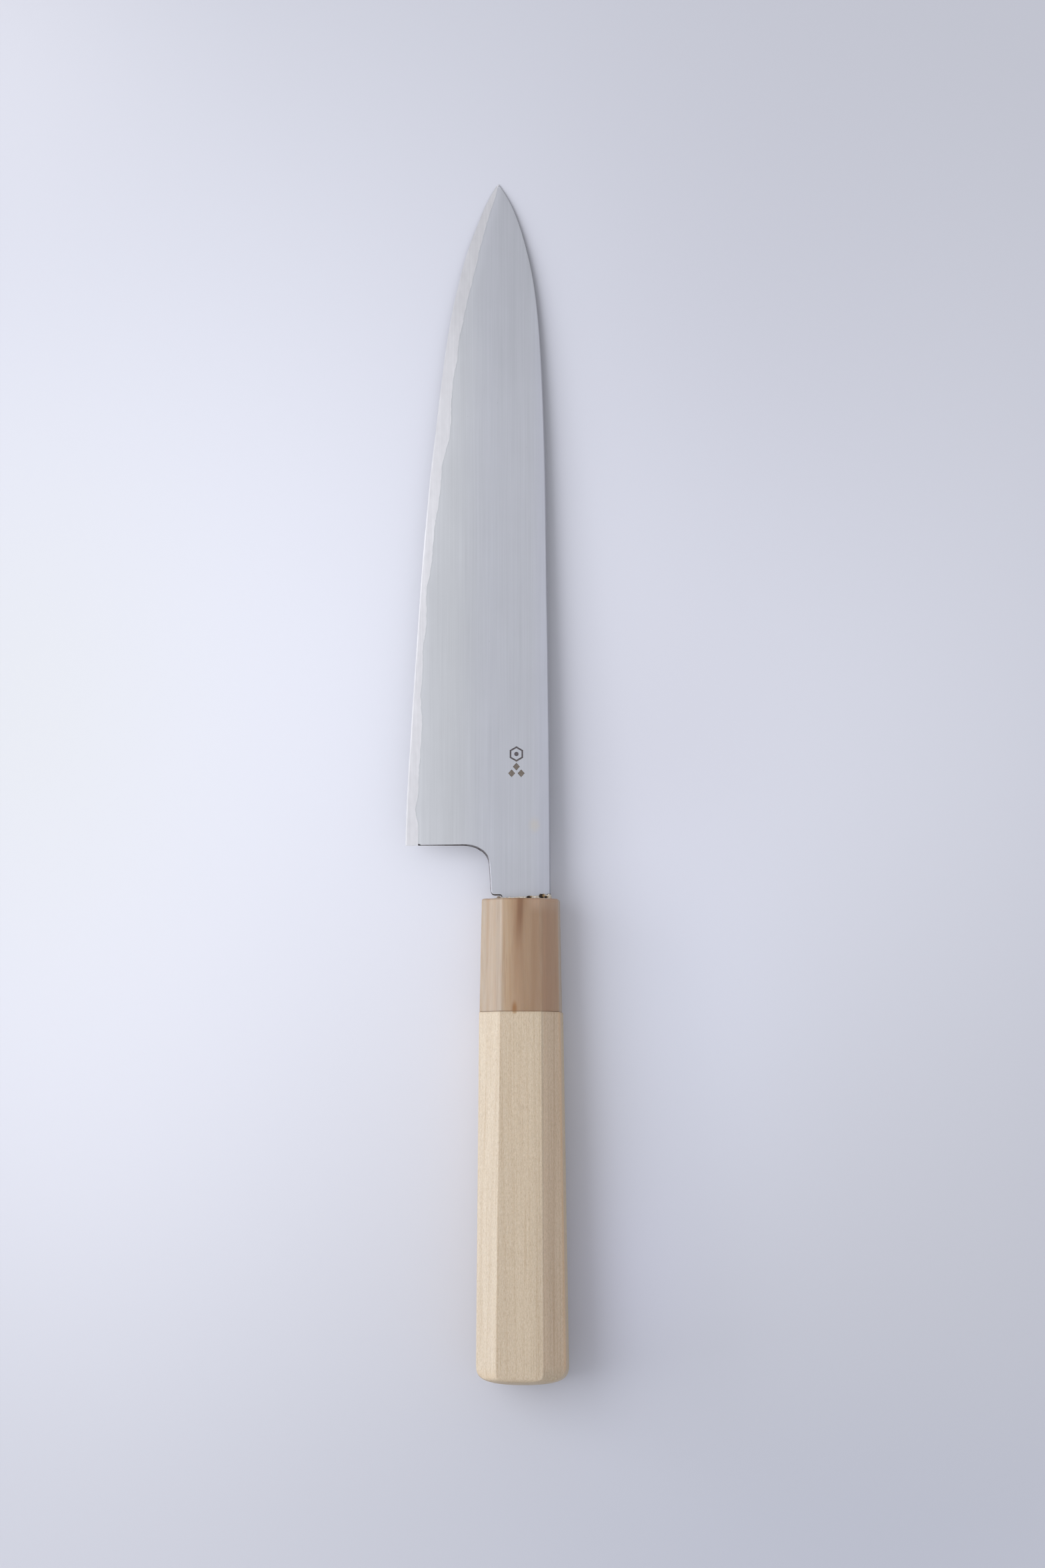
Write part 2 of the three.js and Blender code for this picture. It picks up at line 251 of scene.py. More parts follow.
def octagon_ring(row, radius, wobble=None, exact_y=None):
    """One rounded octagonal section. wobble(k, t) pulls side k in by that many mm, t running along the side."""
    y, left, tl, tr, ru, rl, top, side = row
    corners = [
        np.array(c, float)
        for c in [(tr, top), (ru, side), (rl, -side), (tr, -top), (tl, -top), (left, -side), (left, side), (tl, top)]
    ]
    arcs = []
    for i in range(8):
        p, c, n = corners[i - 1], corners[i], corners[(i + 1) % 8]
        a, b = p - c, n - c
        la, lb = np.linalg.norm(a), np.linalg.norm(b)
        a, b = a / la, b / lb
        angle = math.acos(float(np.clip(a @ b, -1, 1)))
        t = min(radius / math.tan(angle / 2), 0.45 * la, 0.45 * lb)
        r = t * math.tan(angle / 2)
        centre = c + (a + b) / np.linalg.norm(a + b) * (r / math.sin(angle / 2))
        n0 = (c + a * t - centre) / r
        n1 = (c + b * t - centre) / r
        total = math.acos(float(np.clip(n0 @ n1, -1, 1)))
        pts = []
        for k in range(ARC):
            f = k / (ARC - 1)
            w0 = math.sin((1 - f) * total) / math.sin(total)
            w1 = math.sin(f * total) / math.sin(total)
            pts.append(centre + r * (n0 * w0 + n1 * w1))
        arcs.append(pts)
    out = []
    for i in range(8):
        out += arcs[i]
        s, e = arcs[i][-1], arcs[(i + 1) % 8][0]
        d = (e - s) / np.linalg.norm(e - s)
        inward = np.array([d[1], -d[0]])
        if inward @ (s + e) > 0:
            inward = -inward
        for k in range(1, FLAT + 1):
            t = k / (FLAT + 1)
            pull = wobble(i, t) * math.sin(math.pi * t) ** 0.7 if wobble else 0.0
            out.append(s + (e - s) * t + inward * pull)
    return [(q[0], y, q[1]) for q in out]


def circle_like(ring, radius, y):
    return [
        (radius * math.cos(a), y, radius * math.sin(a))
        for a in (math.atan2(p[2], p[0]) for p in ring)
    ]


def rectangle_like(ring, lo, hi, half, y):
    """A rectangle with the same number of points as ring, its corners exact."""
    n = len(ring)
    angles = np.array([math.atan2(p[2], p[0]) for p in ring])
    cx = (lo + hi) / 2
    corners = [(hi, half), (hi, -half), (lo, -half), (lo, half)]
    index = []
    for x, z in corners:
        a = math.atan2(z, x - cx)
        diff = np.abs((angles - a + math.pi) % (2 * math.pi) - math.pi)
        index.append(int(np.argmin(diff)))
    out = [None] * n
    for k in range(4):
        i0, i1 = index[k], index[(k + 1) % 4]
        steps = (i1 - i0) % n
        p0, p1 = np.array(corners[k]), np.array(corners[(k + 1) % 4])
        for s in range(steps):
            q = p0 + (p1 - p0) * (s / steps)
            out[(i0 + s) % n] = (q[0], y, q[1])
    return out


# ---- materials ----------------------------------------------------------------------------------------------
class Mat:
    """A short way to write node materials. Coordinates are millimetres in the knife's own frame."""

    def __init__(self, name):
        self.m = bpy.data.materials.new(name)
        self.m.use_nodes = True
        self.t = self.m.node_tree
        self.t.nodes.clear()
        self.out = self.t.nodes.new("ShaderNodeOutputMaterial")
        self.b = self.t.nodes.new("ShaderNodeBsdfPrincipled")
        self.t.links.new(self.b.outputs[0], self.out.inputs[0])
        co = self.t.nodes.new("ShaderNodeTexCoord")
        mp = self.t.nodes.new("ShaderNodeMapping")
        mp.vector_type = "TEXTURE"
        mp.inputs["Location"].default_value = tuple(SHIFT * MM)
        mp.inputs["Rotation"].default_value = (-PITCH, 0, 0)
        mp.inputs["Scale"].default_value = (MM, MM, MM)
        self.t.links.new(co.outputs["Object"], mp.inputs["Vector"])
        self.co = mp.outputs[0]
        sep = self.t.nodes.new("ShaderNodeSeparateXYZ")
        self.t.links.new(self.co, sep.inputs[0])
        self.x, self.y, self.z = sep.outputs

    def put(self, socket, value):
        if isinstance(value, bpy.types.NodeSocket):
            self.t.links.new(value, socket)
        elif isinstance(value, (tuple, list)) and len(value) == 3 and socket.type == "RGBA":
            socket.default_value = (*value, 1)
        else:
            socket.default_value = value

    def set(self, **values):
        for key, value in values.items():
            self.put(self.b.inputs[key.replace("_", " ")], value)

    def math(self, op, a, b=0.0, c=0.0, clamp=False):
        n = self.t.nodes.new("ShaderNodeMath")
        n.operation, n.use_clamp = op, clamp
        self.put(n.inputs[0], a)
        self.put(n.inputs[1], b)
        self.put(n.inputs[2], c)
        return n.outputs[0]

    def add(self, a, b):
        return self.math("ADD", a, b)

    def mul(self, a, b):
        return self.math("MULTIPLY", a, b)

    def step(self, value, lo, hi, smooth=True):
        """0 at lo, 1 at hi."""
        n = self.t.nodes.new("ShaderNodeMapRange")
        n.interpolation_type = "SMOOTHSTEP" if smooth else "LINEAR"
        n.clamp = True
        self.put(n.inputs["Value"], value)
        flip = lo > hi
        self.put(n.inputs["From Min"], hi if flip else lo)
        self.put(n.inputs["From Max"], lo if flip else hi)
        self.put(n.inputs["To Min"], 1.0 if flip else 0.0)
        self.put(n.inputs["To Max"], 0.0 if flip else 1.0)
        return n.outputs[0]

    def range(self, value, lo, hi, to_lo, to_hi):
        n = self.t.nodes.new("ShaderNodeMapRange")
        n.clamp = True
        for key, v in (("Value", value), ("From Min", lo), ("From Max", hi), ("To Min", to_lo), ("To Max", to_hi)):
            self.put(n.inputs[key], v)
        return n.outputs[0]

    def scaled(self, scale, offset=(0, 0, 0), vector=None):
        n = self.t.nodes.new("ShaderNodeVectorMath")
        n.operation = "MULTIPLY_ADD"
        self.put(n.inputs[0], vector or self.co)
        n.inputs[1].default_value = scale
        n.inputs[2].default_value = offset
        return n.outputs[0]

    def noise(self, scale, offset=(0, 0, 0), detail=3.0, rough=0.5, distort=0.0, vector=None):
        n = self.t.nodes.new("ShaderNodeTexNoise")
        self.put(n.inputs["Vector"], self.scaled(scale, offset, vector))
        n.inputs["Scale"].default_value = 1.0
        n.inputs["Detail"].default_value = detail
        n.inputs["Roughness"].default_value = rough
        n.inputs["Distortion"].default_value = distort
        return n.outputs[0]

    def voronoi(self, scale, offset=(0, 0, 0), feature="F1", random=1.0, vector=None):
        n = self.t.nodes.new("ShaderNodeTexVoronoi")
        n.feature = feature
        self.put(n.inputs["Vector"], self.scaled(scale, offset, vector))
        n.inputs["Scale"].default_value = 1.0
        n.inputs["Randomness"].default_value = random
        return n.outputs["Distance"]

    def mix(self, fac, a, b, blend="MIX"):
        n = self.t.nodes.new("ShaderNodeMix")
        n.data_type, n.blend_type = "RGBA", blend
        n.clamp_factor = True
        self.put(n.inputs[0], fac)
        self.put(n.inputs[6], a)
        self.put(n.inputs[7], b)
        return n.outputs[2]

    def gain(self, colour, factor):
        """colour times a number."""
        n = self.t.nodes.new("ShaderNodeVectorMath")
        n.operation = "SCALE"
        self.put(n.inputs[0], colour)
        self.put(n.inputs["Scale"], factor)
        return n.outputs[0]

    def colour(self, rgb):
        n = self.t.nodes.new("ShaderNodeRGB")
        n.outputs[0].default_value = (*rgb, 1)
        return n.outputs[0]

    def attribute(self, name):
        n = self.t.nodes.new("ShaderNodeAttribute")
        n.attribute_name = name
        return n.outputs["Fac"]

    def spot(self, x, y, radius, soft=0.6, wobble=None, sx=1.0, sy=1.0):
        """1 inside a round spot on the blade face, 0 outside."""
        dx = self.mul(self.math("SUBTRACT", self.x, x), 1 / sx)
        dy = self.mul(self.math("SUBTRACT", self.y, y), 1 / sy)
        d = self.math("SQRT", self.add(self.mul(dx, dx), self.mul(dy, dy)))
        if wobble is not None:
            d = self.add(d, wobble)
        return self.step(d, radius * (1 + soft), radius * (1 - soft))

    def bump(self, height, strength=1.0, distance=0.0001, normal=None):
        n = self.t.nodes.new("ShaderNodeBump")
        n.inputs["Strength"].default_value = strength
        n.inputs["Distance"].default_value = distance
        self.put(n.inputs["Height"], height)
        if normal is not None:
            self.t.links.new(normal, n.inputs["Normal"])
        return n.outputs[0]


def blend_noise(m, parts):
    """Weighted sum of noises, centred on 0: parts are (weight, scale, offset, detail)."""
    total = None
    for weight, scale, offset, detail in parts:
        n = m.mul(m.math("SUBTRACT", m.noise(scale, offset, detail), 0.5), weight)
        total = n if total is None else m.add(total, n)
    return total


def steel(name, base, rough, side, core=False):
    """Lengthwise satin-finished steel. side is +1 for the upper face's layers, -1 for the lower ones."""
    m = Mat(name)
    seed = 11.0 * side + (40 if core else 0)
    streaks = blend_noise(
        m,
        [
            (0.50, (5.5, 0.035, 0.0), (seed, 0, 0), 2.0),
            (0.34, (2.2, 0.016, 0.0), (seed + 5, 0, 0), 2.0),
            (0.25, (0.8, 0.010, 0.0), (seed + 9, 0, 0), 2.0),
        ],
    )
    cloud = blend_noise(m, [(0.7, (0.10, 0.045, 0.0), (seed, 3, 0), 3.0), (0.4, (0.5, 0.25, 0.0), (seed, 8, 0), 3.0)])
    rough_edge_and_shade_mask = m.attribute("rough_edge_and_shade")  # 0 on the face, 1 on the side walls
    value = m.add(1.0, m.add(m.mul(streaks, 0.30), m.mul(cloud, 0.06)))
    colour = m.gain(m.colour(base), value)
    r = m.add(rough, m.add(m.mul(streaks, 0.10), m.mul(cloud, 0.06)))
    if not core:
        line = m.attribute("from_line")
        ragged = m.add(line, m.mul(m.math("SUBTRACT", m.noise((2.5, 1.2, 0), (seed, 1, 0), 3.0), 0.5), 0.25))
        dark = m.mul(m.step(ragged, 0.50, 0.05), 0.09)
        haze = m.mul(m.step(ragged, 2.8, 0.2), 0.05)
        # painted sheen: the lower half of the face, towards the edge, is a little brighter, except near the tip
        painted_sheen = m.mul(m.mul(m.step(line, 12.0, 1.5), 0.055), m.range(m.y, 140.0, 165.0, 1.0, 0.0))
        colour = m.gain(colour, m.math("SUBTRACT", 1.0, m.math("SUBTRACT", dark, m.add(haze, painted_sheen))))
        colour = m.gain(colour, m.range(m.y, 135.0, 188.0, 1.0, 0.92))
        middle = m.mul(m.step(m.x, -19.0, -12.0), m.step(m.x, 2.0, -3.0))
        colour = m.gain(colour, m.math("SUBTRACT", 1.0, m.mul(middle, 0.02)))
        # painted shade on the spine side towards the heel
        back = m.mul(m.step(m.x, 3.0, 6.5), m.range(m.y, 30.0, 50.0, 1.0, 0.0))
        colour = m.gain(colour, m.math("SUBTRACT", 1.0, m.mul(back, 0.04)))
        # the satin is a touch warmer towards the edge and bluer towards the spine
        colour = m.mix(m.step(m.x, -8.0, -20.0), colour, (1.0, 1.0, 0.965), "MULTIPLY")
        colour = m.mix(m.step(m.x, 2.0, 7.0), colour, (1.0, 1.0, 1.035), "MULTIPLY")
        colour = m.gain(colour, m.range(m.y, 8.0, 16.0, 0.965, 1.0))
        r = m.add(r, m.mul(dark, 0.3))
        # painted dark reflection on the rounded and cut edges, which are also left rougher than the faces
        edge = m.step(rough_edge_and_shade_mask, 0.08, 0.62)
        edge = m.mul(edge, m.add(0.85, m.mul(m.math("SUBTRACT", m.noise((1.6, 1.6, 1.6), (seed, 0, 4), 3.0), 0.5), 0.6)))
        colour = m.mix(edge, colour, (0.075, 0.063, 0.06))
        r = m.add(r, m.mul(edge, 0.12))
        if side > 0:
            stain = m.spot(3.7, 20.5, 1.25, 0.8, m.mul(m.math("SUBTRACT", m.noise((1.2, 1.2, 0), (3, 3, 0), 2.0), 0.5), 0.8), 1.0, 1.3)
            colour = m.mix(m.mul(stain, 0.26), colour, (0.60, 0.50, 0.32))
        specks = m.step(m.voronoi((0.30, 0.11, 0.0), (seed, 2, 0)), 0.030, 0.012)
        colour = m.mix(m.mul(specks, 0.35), colour, (0.2, 0.19, 0.19))
    else:
        mottled = m.noise((0.9, 0.35, 0.0), (seed, 0, 0), 4.0)
        colour = m.gain(colour, m.range(mottled, 0.3, 0.7, 0.975, 1.02))
        colour = m.gain(colour, m.range(m.y, 20.0, 85.0, 0.925, 1.0))
        colour = m.gain(colour, m.range(m.y, 125.0, 165.0, 1.02, 0.885))
        colour = m.gain(colour, m.range(m.y, 165.0, 190.0, 1.0, 0.90))
        r = m.add(r, m.mul(m.math("SUBTRACT", mottled, 0.5), 0.05))
        # painted dark reflection on the side walls
        edge = m.step(rough_edge_and_shade_mask, 0.5, 1.0)
        colour = m.mix(m.mul(edge, 0.7), colour, (0.25, 0.23, 0.22))
    m.set(Base_Color=colour, Metallic=1.0, Roughness=r, Anisotropic=0.55)
    tangent = m.t.nodes.new("ShaderNodeTangent")
    tangent.direction_type, tangent.uv_map = "UV_MAP", "brush"
    m.t.links.new(tangent.outputs[0], m.b.inputs["Tangent"])
    fine = m.bump(
        blend_noise(m, [(0.6, (9.0, 0.06, 2.0), (seed, 0, 0), 3.0), (0.7, (3.0, 0.02, 1.0), (seed, 7, 0), 2.0)]),
        0.5,
        0.0000035,
    )
    m.set(Normal=fine)
    return m.m


def pit_steel(name):
    """Floor of the struck mark."""
    m = Mat(name)
    n = m.noise((2.6, 2.6, 1.0), (5, 0, 0), 4.0)
    warm = m.mix(m.step(m.y, 39.6, 36.5), (0.105, 0.09, 0.088), (0.175, 0.145, 0.11))
    colour = m.gain(warm, m.range(n, 0.3, 0.7, 0.75, 1.3))
    m.set(Base_Color=colour, Metallic=0.35, Roughness=0.62)
    m.set(Normal=m.bump(n, 0.6, 0.00004))
    return m.m


def horn():
    m = Mat("blond_horn")
    flow = m.noise((0.10, 0.018, 0.10), (2, 0, 5), 2.0)
    wide = m.noise((0.26, 0.012, 0.26), (7, 1, 2), 3.0, 0.55, 0.6)
    fine = m.noise((1.5, 0.05, 1.5), (1, 4, 9), 4.0, 0.6)
    hair = m.noise((5.0, 0.10, 5.0), (3, 1, 1), 3.0, 0.6)
    pale, mid, brown = (0.435, 0.340, 0.236), (0.380, 0.262, 0.155), (0.190, 0.095, 0.044)
    colour = m.mix(m.step(wide, 0.40, 0.68), pale, mid)
    colour = m.mix(m.mul(m.step(fine, 0.52, 0.72), 0.35), colour, (0.30, 0.19, 0.115))
    # a brown streak down the middle of the upper facet, strongest at the front
    centre = m.add(m.add(m.x, 0.3), m.mul(m.math("SUBTRACT", flow, 0.5), 3.0))
    across = m.step(m.math("ABSOLUTE", centre), 3.6, 0.4)
    core = m.step(m.math("ABSOLUTE", centre), 1.3, 0.25)
    upper = m.step(m.z, 2.0, 7.0)
    front = m.range(m.y, -31.4, -1.0, 0.50, 0.80)
    head = m.step(m.y, -17.0, -3.0)
    colour = m.mix(m.mul(m.mul(across, upper), front), colour, (0.275, 0.164, 0.088))
    colour = m.mix(m.mul(m.mul(core, upper), m.mul(head, 0.75)), colour, brown)
    right = m.mul(m.step(m.x, 0.8, 3.5), m.step(m.x, 13.0, 6.0))
    colour = m.mix(m.mul(m.mul(right, upper), 0.75), colour, (0.283, 0.181, 0.107))
    flank = m.mul(m.step(m.x, 5.6, 6.6), m.step(m.x, 11.2, 9.6))
    colour = m.mix(m.mul(m.mul(flank, m.step(m.z, 0.5, 4.0)), 0.6), colour, (0.385, 0.248, 0.162))
    glow = m.mul(m.spot(-1.85, -30.6, 0.72, 0.75, None, 0.9, 2.3), upper)
    colour = m.mix(m.mul(glow, 0.90), colour, (0.27, 0.135, 0.045))
    # the horn is creamier at its front, on the spine side
    cream = m.mul(m.mul(m.step(m.x, 1.0, 3.6), m.step(m.y, -4.8, -1.0)), m.step(m.z, 0.0, 4.0))
    colour = m.mix(m.mul(cream, 0.62), colour, (0.43, 0.32, 0.235))
    # the front edge is scorched a little by the hot fitting of the tang
    colour = m.mix(m.mul(m.step(m.y, -0.7, -0.1), 0.30), colour, (0.24, 0.145, 0.085))
    colour = m.mix(m.mul(m.step(m.y, -30.9, -31.35), 0.35), colour, (0.22, 0.13, 0.075))
    colour = m.gain(colour, m.range(hair, 0.25, 0.75, 0.94, 1.06))
    # right of the first facet edge the horn is deeper in colour
    deeper = m.mul(m.step(m.x, -5.9, -4.2), upper)
    colour = m.mix(deeper, colour, (1.12, 1.03, 0.91), "MULTIPLY")
    # and it darkens a little more towards the spine side of the upper facet
    shade = m.mul(m.mul(m.step(m.x, -1.2, 1.0), m.step(m.x, 5.6, 5.0)), upper)
    colour = m.gain(colour, m.math("SUBTRACT", 1.0, m.mul(shade, 0.125)))
    # painted highlight just past the facet edge on the spine side
    turn = m.mul(m.mul(m.step(m.x, 5.2, 5.7), m.step(m.x, 7.6, 6.2)), m.step(m.z, 2.0, 5.0))
    colour = m.gain(colour, m.add(1.0, m.mul(turn, 0.12)))
    # painted shade along the facet edge on the edge side
    margin = m.mul(m.mul(m.step(m.x, -7.2, -6.7), m.step(m.x, -5.5, -5.9)), upper)
    colour = m.gain(colour, m.math("SUBTRACT", 1.0, m.mul(margin, 0.09)))
    # painted cool light on the edge side of the ferrule, which faces the window
    colour = m.mix(m.step(m.x, -8.8, -10.0), colour, (1.0, 1.05, 1.10), "MULTIPLY")
    # painted highlight along the rounded facet edges on the spine side
    crest = m.mul(m.attribute("arris"), m.range(m.noise((0.9, 0.12, 0.9), (8, 3, 3), 2.0), 0.35, 0.65, 0.45, 1.0))
    colour = m.mix(m.mul(m.mul(crest, m.step(m.x, -4.0, 4.0)), 0.30), colour, (0.58, 0.47, 0.35))
    m.set(
        Base_Color=colour,
        Roughness=m.range(fine, 0.3, 0.7, 0.36, 0.48),
        Subsurface_Weight=0.28,
        Subsurface_Radius=(0.0030, 0.0019, 0.0011),
        Subsurface_Scale=1.0,
        Specular_IOR_Level=0.5,
    )
    m.set(Normal=m.bump(m.add(m.mul(fine, 0.6), hair), 0.45, 0.00003))
    return m.m


def wood():
    m = Mat("ho_wood")
    # growth layers: cylinders round a pith that lies well outside the handle
    wander = m.mul(m.math("SUBTRACT", m.noise((0.05, 0.002, 0.05), (4, 0, 2), 1.0), 0.5), 1.6)
    dx, dz = m.math("SUBTRACT", m.x, -34.0), m.math("SUBTRACT", m.z, 61.0)
    radius = m.add(m.math("SQRT", m.add(m.mul(dx, dx), m.mul(dz, dz))), wander)
    ring = m.math("FRACT", m.mul(radius, 1 / 1.25))
    late = m.mul(m.step(ring, 0.55, 0.97), m.step(ring, 1.0, 0.985))
    broad = m.noise((0.16, 0.009, 0.16), (1, 0, 3), 3.0)
    lines = m.noise((2.3, 0.004, 2.3), (5, 0, 1), 2.0, 0.6)
    fleck = m.noise((5.2, 0.95, 5.2), (9, 2, 4), 2.0, 0.6)
    pore = m.noise((8.0, 0.30, 8.0), (2, 7, 1), 2.0, 0.6)
    stipple = m.noise((3.0, 1.9, 3.0), (4, 1, 7), 1.0, 0.5)
    base, deep = (0.615, 0.498, 0.338), (0.515, 0.392, 0.247)
    colour = m.mix(m.step(broad, 0.30, 0.72), base, (0.578, 0.462, 0.312))
    colour = m.mix(m.mul(late, 0.34), colour, deep)
    colour = m.mix(m.mul(m.step(lines, 0.52, 0.68), 0.66), colour, deep)
    colour = m.mix(m.mul(m.step(lines, 0.47, 0.28), 0.25), colour, (0.66, 0.55, 0.39))
    colour = m.mix(m.mul(m.step(fleck, 0.53, 0.68), 0.42), colour, (0.42, 0.30, 0.18))
    colour = m.mix(m.mul(m.step(fleck, 0.46, 0.32), 0.27), colour, (0.74, 0.64, 0.48))
    colour = m.mix(m.mul(m.step(pore, 0.60, 0.72), 0.22), colour, (0.36, 0.25, 0.15))
    colour = m.gain(colour, m.range(stipple, 0.25, 0.75, 0.94, 1.06))
    # handling: slightly greyer towards the butt
    colour = m.gain(colour, m.range(m.y, -134.0, -31.0, 0.955, 1.0))
    # what follows belongs to the facets, and fades out before the end grain of the butt
    along = m.step(m.y, -133.0, -129.0)
    streak = m.mul(m.mul(m.step(m.math("ABSOLUTE", m.math("SUBTRACT", m.x, 9.1)), 0.30, 0.04), m.step(m.z, 0.0, 3.0)), along)
    colour = m.mix(m.mul(streak, 0.30), colour, (0.38, 0.25, 0.14))
    rim = m.math("SUBTRACT", m.math("SUBTRACT", 11.17, m.mul(m.y, 0.01667)), m.x)
    warm = m.mul(m.mul(m.step(m.math("ABSOLUTE", m.math("SUBTRACT", rim, 0.95)), 0.95, 0.0), m.step(m.z, -0.5, 4.5)), along)
    warm = m.mul(warm, m.range(m.noise((1.1, 0.05, 1.1), (6, 2, 2), 3.0), 0.35, 0.62, 0.45, 1.0))
    colour = m.mix(m.mul(warm, 0.52), colour, (0.60, 0.40, 0.22))
    # painted light on the slanted facet on the spine side
    side = m.mul(m.mul(m.step(m.x, 5.6, 6.6), m.step(m.z, 0.5, 5.0)), along)
    colour = m.mix(side, colour, (1.11, 1.065, 1.06), "MULTIPLY")
    # painted cool light on the slanted facet towards the edge side
    corner = m.math("SUBTRACT", m.x, m.add(m.mul(m.y, 0.01258), -5.475))
    cool = m.mul(m.mul(m.step(corner, 0.25, -0.25), m.step(m.z, -1.0, 4.0)), along)
    colour = m.mix(cool, colour, (1.01, 1.05, 1.11), "MULTIPLY")
    # painted shade just before the facet edge on the spine side and a painted highlight just past it, so the tone
    # changes over the edge gradually
    turn = m.math("ADD", m.math("SUBTRACT", m.x, 5.493), m.mul(m.y, 0.00532))
    near = m.mul(m.mul(m.mul(m.step(turn, -4.5, -1.2), m.step(turn, 0.15, -0.15)), m.step(m.z, 3.0, 6.0)), along)
    colour = m.gain(colour, m.math("SUBTRACT", 1.0, m.mul(near, 0.06)))
    over = m.mul(m.mul(m.mul(m.step(turn, 0.1, 0.4), m.step(turn, 2.0, 0.8)), m.step(m.z, 2.0, 5.0)), along)
    colour = m.gain(colour, m.add(1.0, m.mul(over, 0.085)))
    end = m.step(m.y, -133.0, -134.4)
    rays = m.step(m.noise((3.0, 0.0, 0.35), (6, 0, 6), 2.0), 0.55, 0.72)
    colour = m.mix(m.mul(end, 0.45), colour, m.gain(colour, 0.80))
    colour = m.mix(m.mul(m.mul(end, rays), 0.25), colour, (0.70, 0.58, 0.42))
    colour = m.mix(m.mul(m.step(m.y, -32.2, -31.45), 0.25), colour, (0.42, 0.30, 0.18))
    mark = m.mul(m.spot(-1.78, -31.55, 0.42, 0.7, None, 1.3, 1.1), m.step(m.z, 3.0, 7.0))
    colour = m.mix(m.mul(mark, 0.65), colour, (0.36, 0.19, 0.06))
    # painted highlight on the rounded facet edges
    crest = m.step(m.attribute("arris"), 0.45, 1.0)
    colour = m.mix(m.mul(crest, 0.10), colour, (0.70, 0.60, 0.45))
    m.set(
        Base_Color=colour,
        Roughness=m.range(fleck, 0.3, 0.7, 0.56, 0.70),
        Specular_IOR_Level=0.35,
        Subsurface_Weight=0.05,
        Subsurface_Radius=(0.0012, 0.0008, 0.0005),
        Subsurface_Scale=1.0,
    )
    height = m.add(m.mul(fleck, 0.8), m.add(m.mul(lines, 0.8), m.mul(pore, 0.5)))
    m.set(Normal=m.bump(height, 0.5, 0.00006))
    return m.m


def bead_material():
    m = Mat("mouth_bead")
    grain = m.noise((1.7, 1.7, 1.7), (1, 1, 1), 4.0, 0.65)
    fine = m.noise((6.0, 6.0, 6.0), (3, 1, 8), 3.0, 0.6)
    colour = m.mix(m.step(grain, 0.35, 0.65), (0.72, 0.66, 0.55), (0.56, 0.50, 0.40))
    colour = m.mix(m.mul(m.step(fine, 0.55, 0.70), 0.5), colour, (0.40, 0.32, 0.21))
    wobble = m.mul(m.math("SUBTRACT", grain, 0.5), 0.9)
    for x, y, r, sx, sy in ((2.2, 0.55, 0.62, 1.3, 0.7), (5.75, 0.85, 0.85, 1.0, 0.9), (6.9, 0.5, 0.5, 1.0, 0.8)):
        colour = m.mix(m.spot(x, y, r, 0.35, wobble, sx, sy), colour, (0.035, 0.024, 0.017))
        colour = m.mix(m.mul(m.spot(x + 0.5, y + 0.1, r * 0.45, 0.4, wobble, sx, sy), 0.8), colour, (0.42, 0.27, 0.11))
    colour = m.mix(m.mul(m.spot(-6.3, 0.5, 0.6, 0.5, wobble), 0.8), colour, (0.22, 0.15, 0.09))
    m.set(Base_Color=colour, Roughness=0.85, Specular_IOR_Level=0.3)
    m.set(Normal=m.bump(m.add(grain, m.mul(fine, 0.5)), 0.7, 0.0002))
    return m.m


def resin_material():
    m = Mat("tang_resin")
    n = m.noise((0.8, 0.2, 0.8), (0, 0, 0), 4.0)
    colour = m.mix(m.step(n, 0.3, 0.7), (0.20, 0.12, 0.055), (0.32, 0.21, 0.10))
    m.set(Base_Color=colour, Roughness=m.range(n, 0.3, 0.7, 0.45, 0.65))
    m.set(Normal=m.bump(n, 0.5, 0.0001))
    return m.m


# ---- blade --------------------------------------------------------------------------------------------------
def bezier(p0, p1, p2, p3, n):
    t = np.linspace(0, 1, n + 1)[1:, None]
    p0, p1, p2, p3 = map(np.array, (p0, p1, p2, p3))
    return (1 - t) ** 3 * p0 + 3 * t * (1 - t) ** 2 * p1 + 3 * t * t * (1 - t) * p2 + t**3 * p3


def quadratic(p0, p1, p2, n):
    t = np.linspace(0, 1, n + 1)[1:, None]
    p0, p1, p2 = map(np.array, (p0, p1, p2))
    return (1 - t) ** 2 * p0 + 2 * t * (1 - t) * p1 + t * t * p2


def straight(p0, p1, step):
    p0, p1 = np.array(p0, float), np.array(p1, float)
    n = max(1, int(round(np.linalg.norm(p1 - p0) / step)))
    return p0 + (p1 - p0) * np.linspace(0, 1, n + 1)[1:, None]


def surface(x, y):
    """Height of the ground face: one convex sweep from the sharpened bevel to the spine, whichever layer shows."""
    e = edge_x(y)
    w = np.maximum(spine_x(y) - e, 0.02)
    d = np.clip(x - e, 0, w)
    m = np.minimum(0.30, 0.25 * w)
    hs = spine_half(y)
    h1 = np.minimum(0.075, 0.45 * hs)
    h0 = np.minimum(np.interp(y, [105.0, 130.0], [0.047, 0.060]), 0.36 * hs)
    u = np.clip((d - m) / (w - m), 0, 1)
    return np.where(d < m, h0 + (h1 - h0) * d / m, h1 + (hs - h1) * (1 - (1 - u) ** 1.75))


def inner_half(x, y):
    """Half distance between the claddings' inner faces: flat inside the blade, and running out at the band."""
    return np.maximum(np.minimum(np.minimum(0.235, 0.72 * spine_half(y)), surface(x, y) - 0.012), 0.003)


def blade_stations():
    fine = np.concatenate([np.arange(HEEL_Y + 0.7, 188, 0.7), np.arange(188, 196.4, 0.35), np.arange(196.5, TIP_Y - 0.05, 0.16)])
    return fine


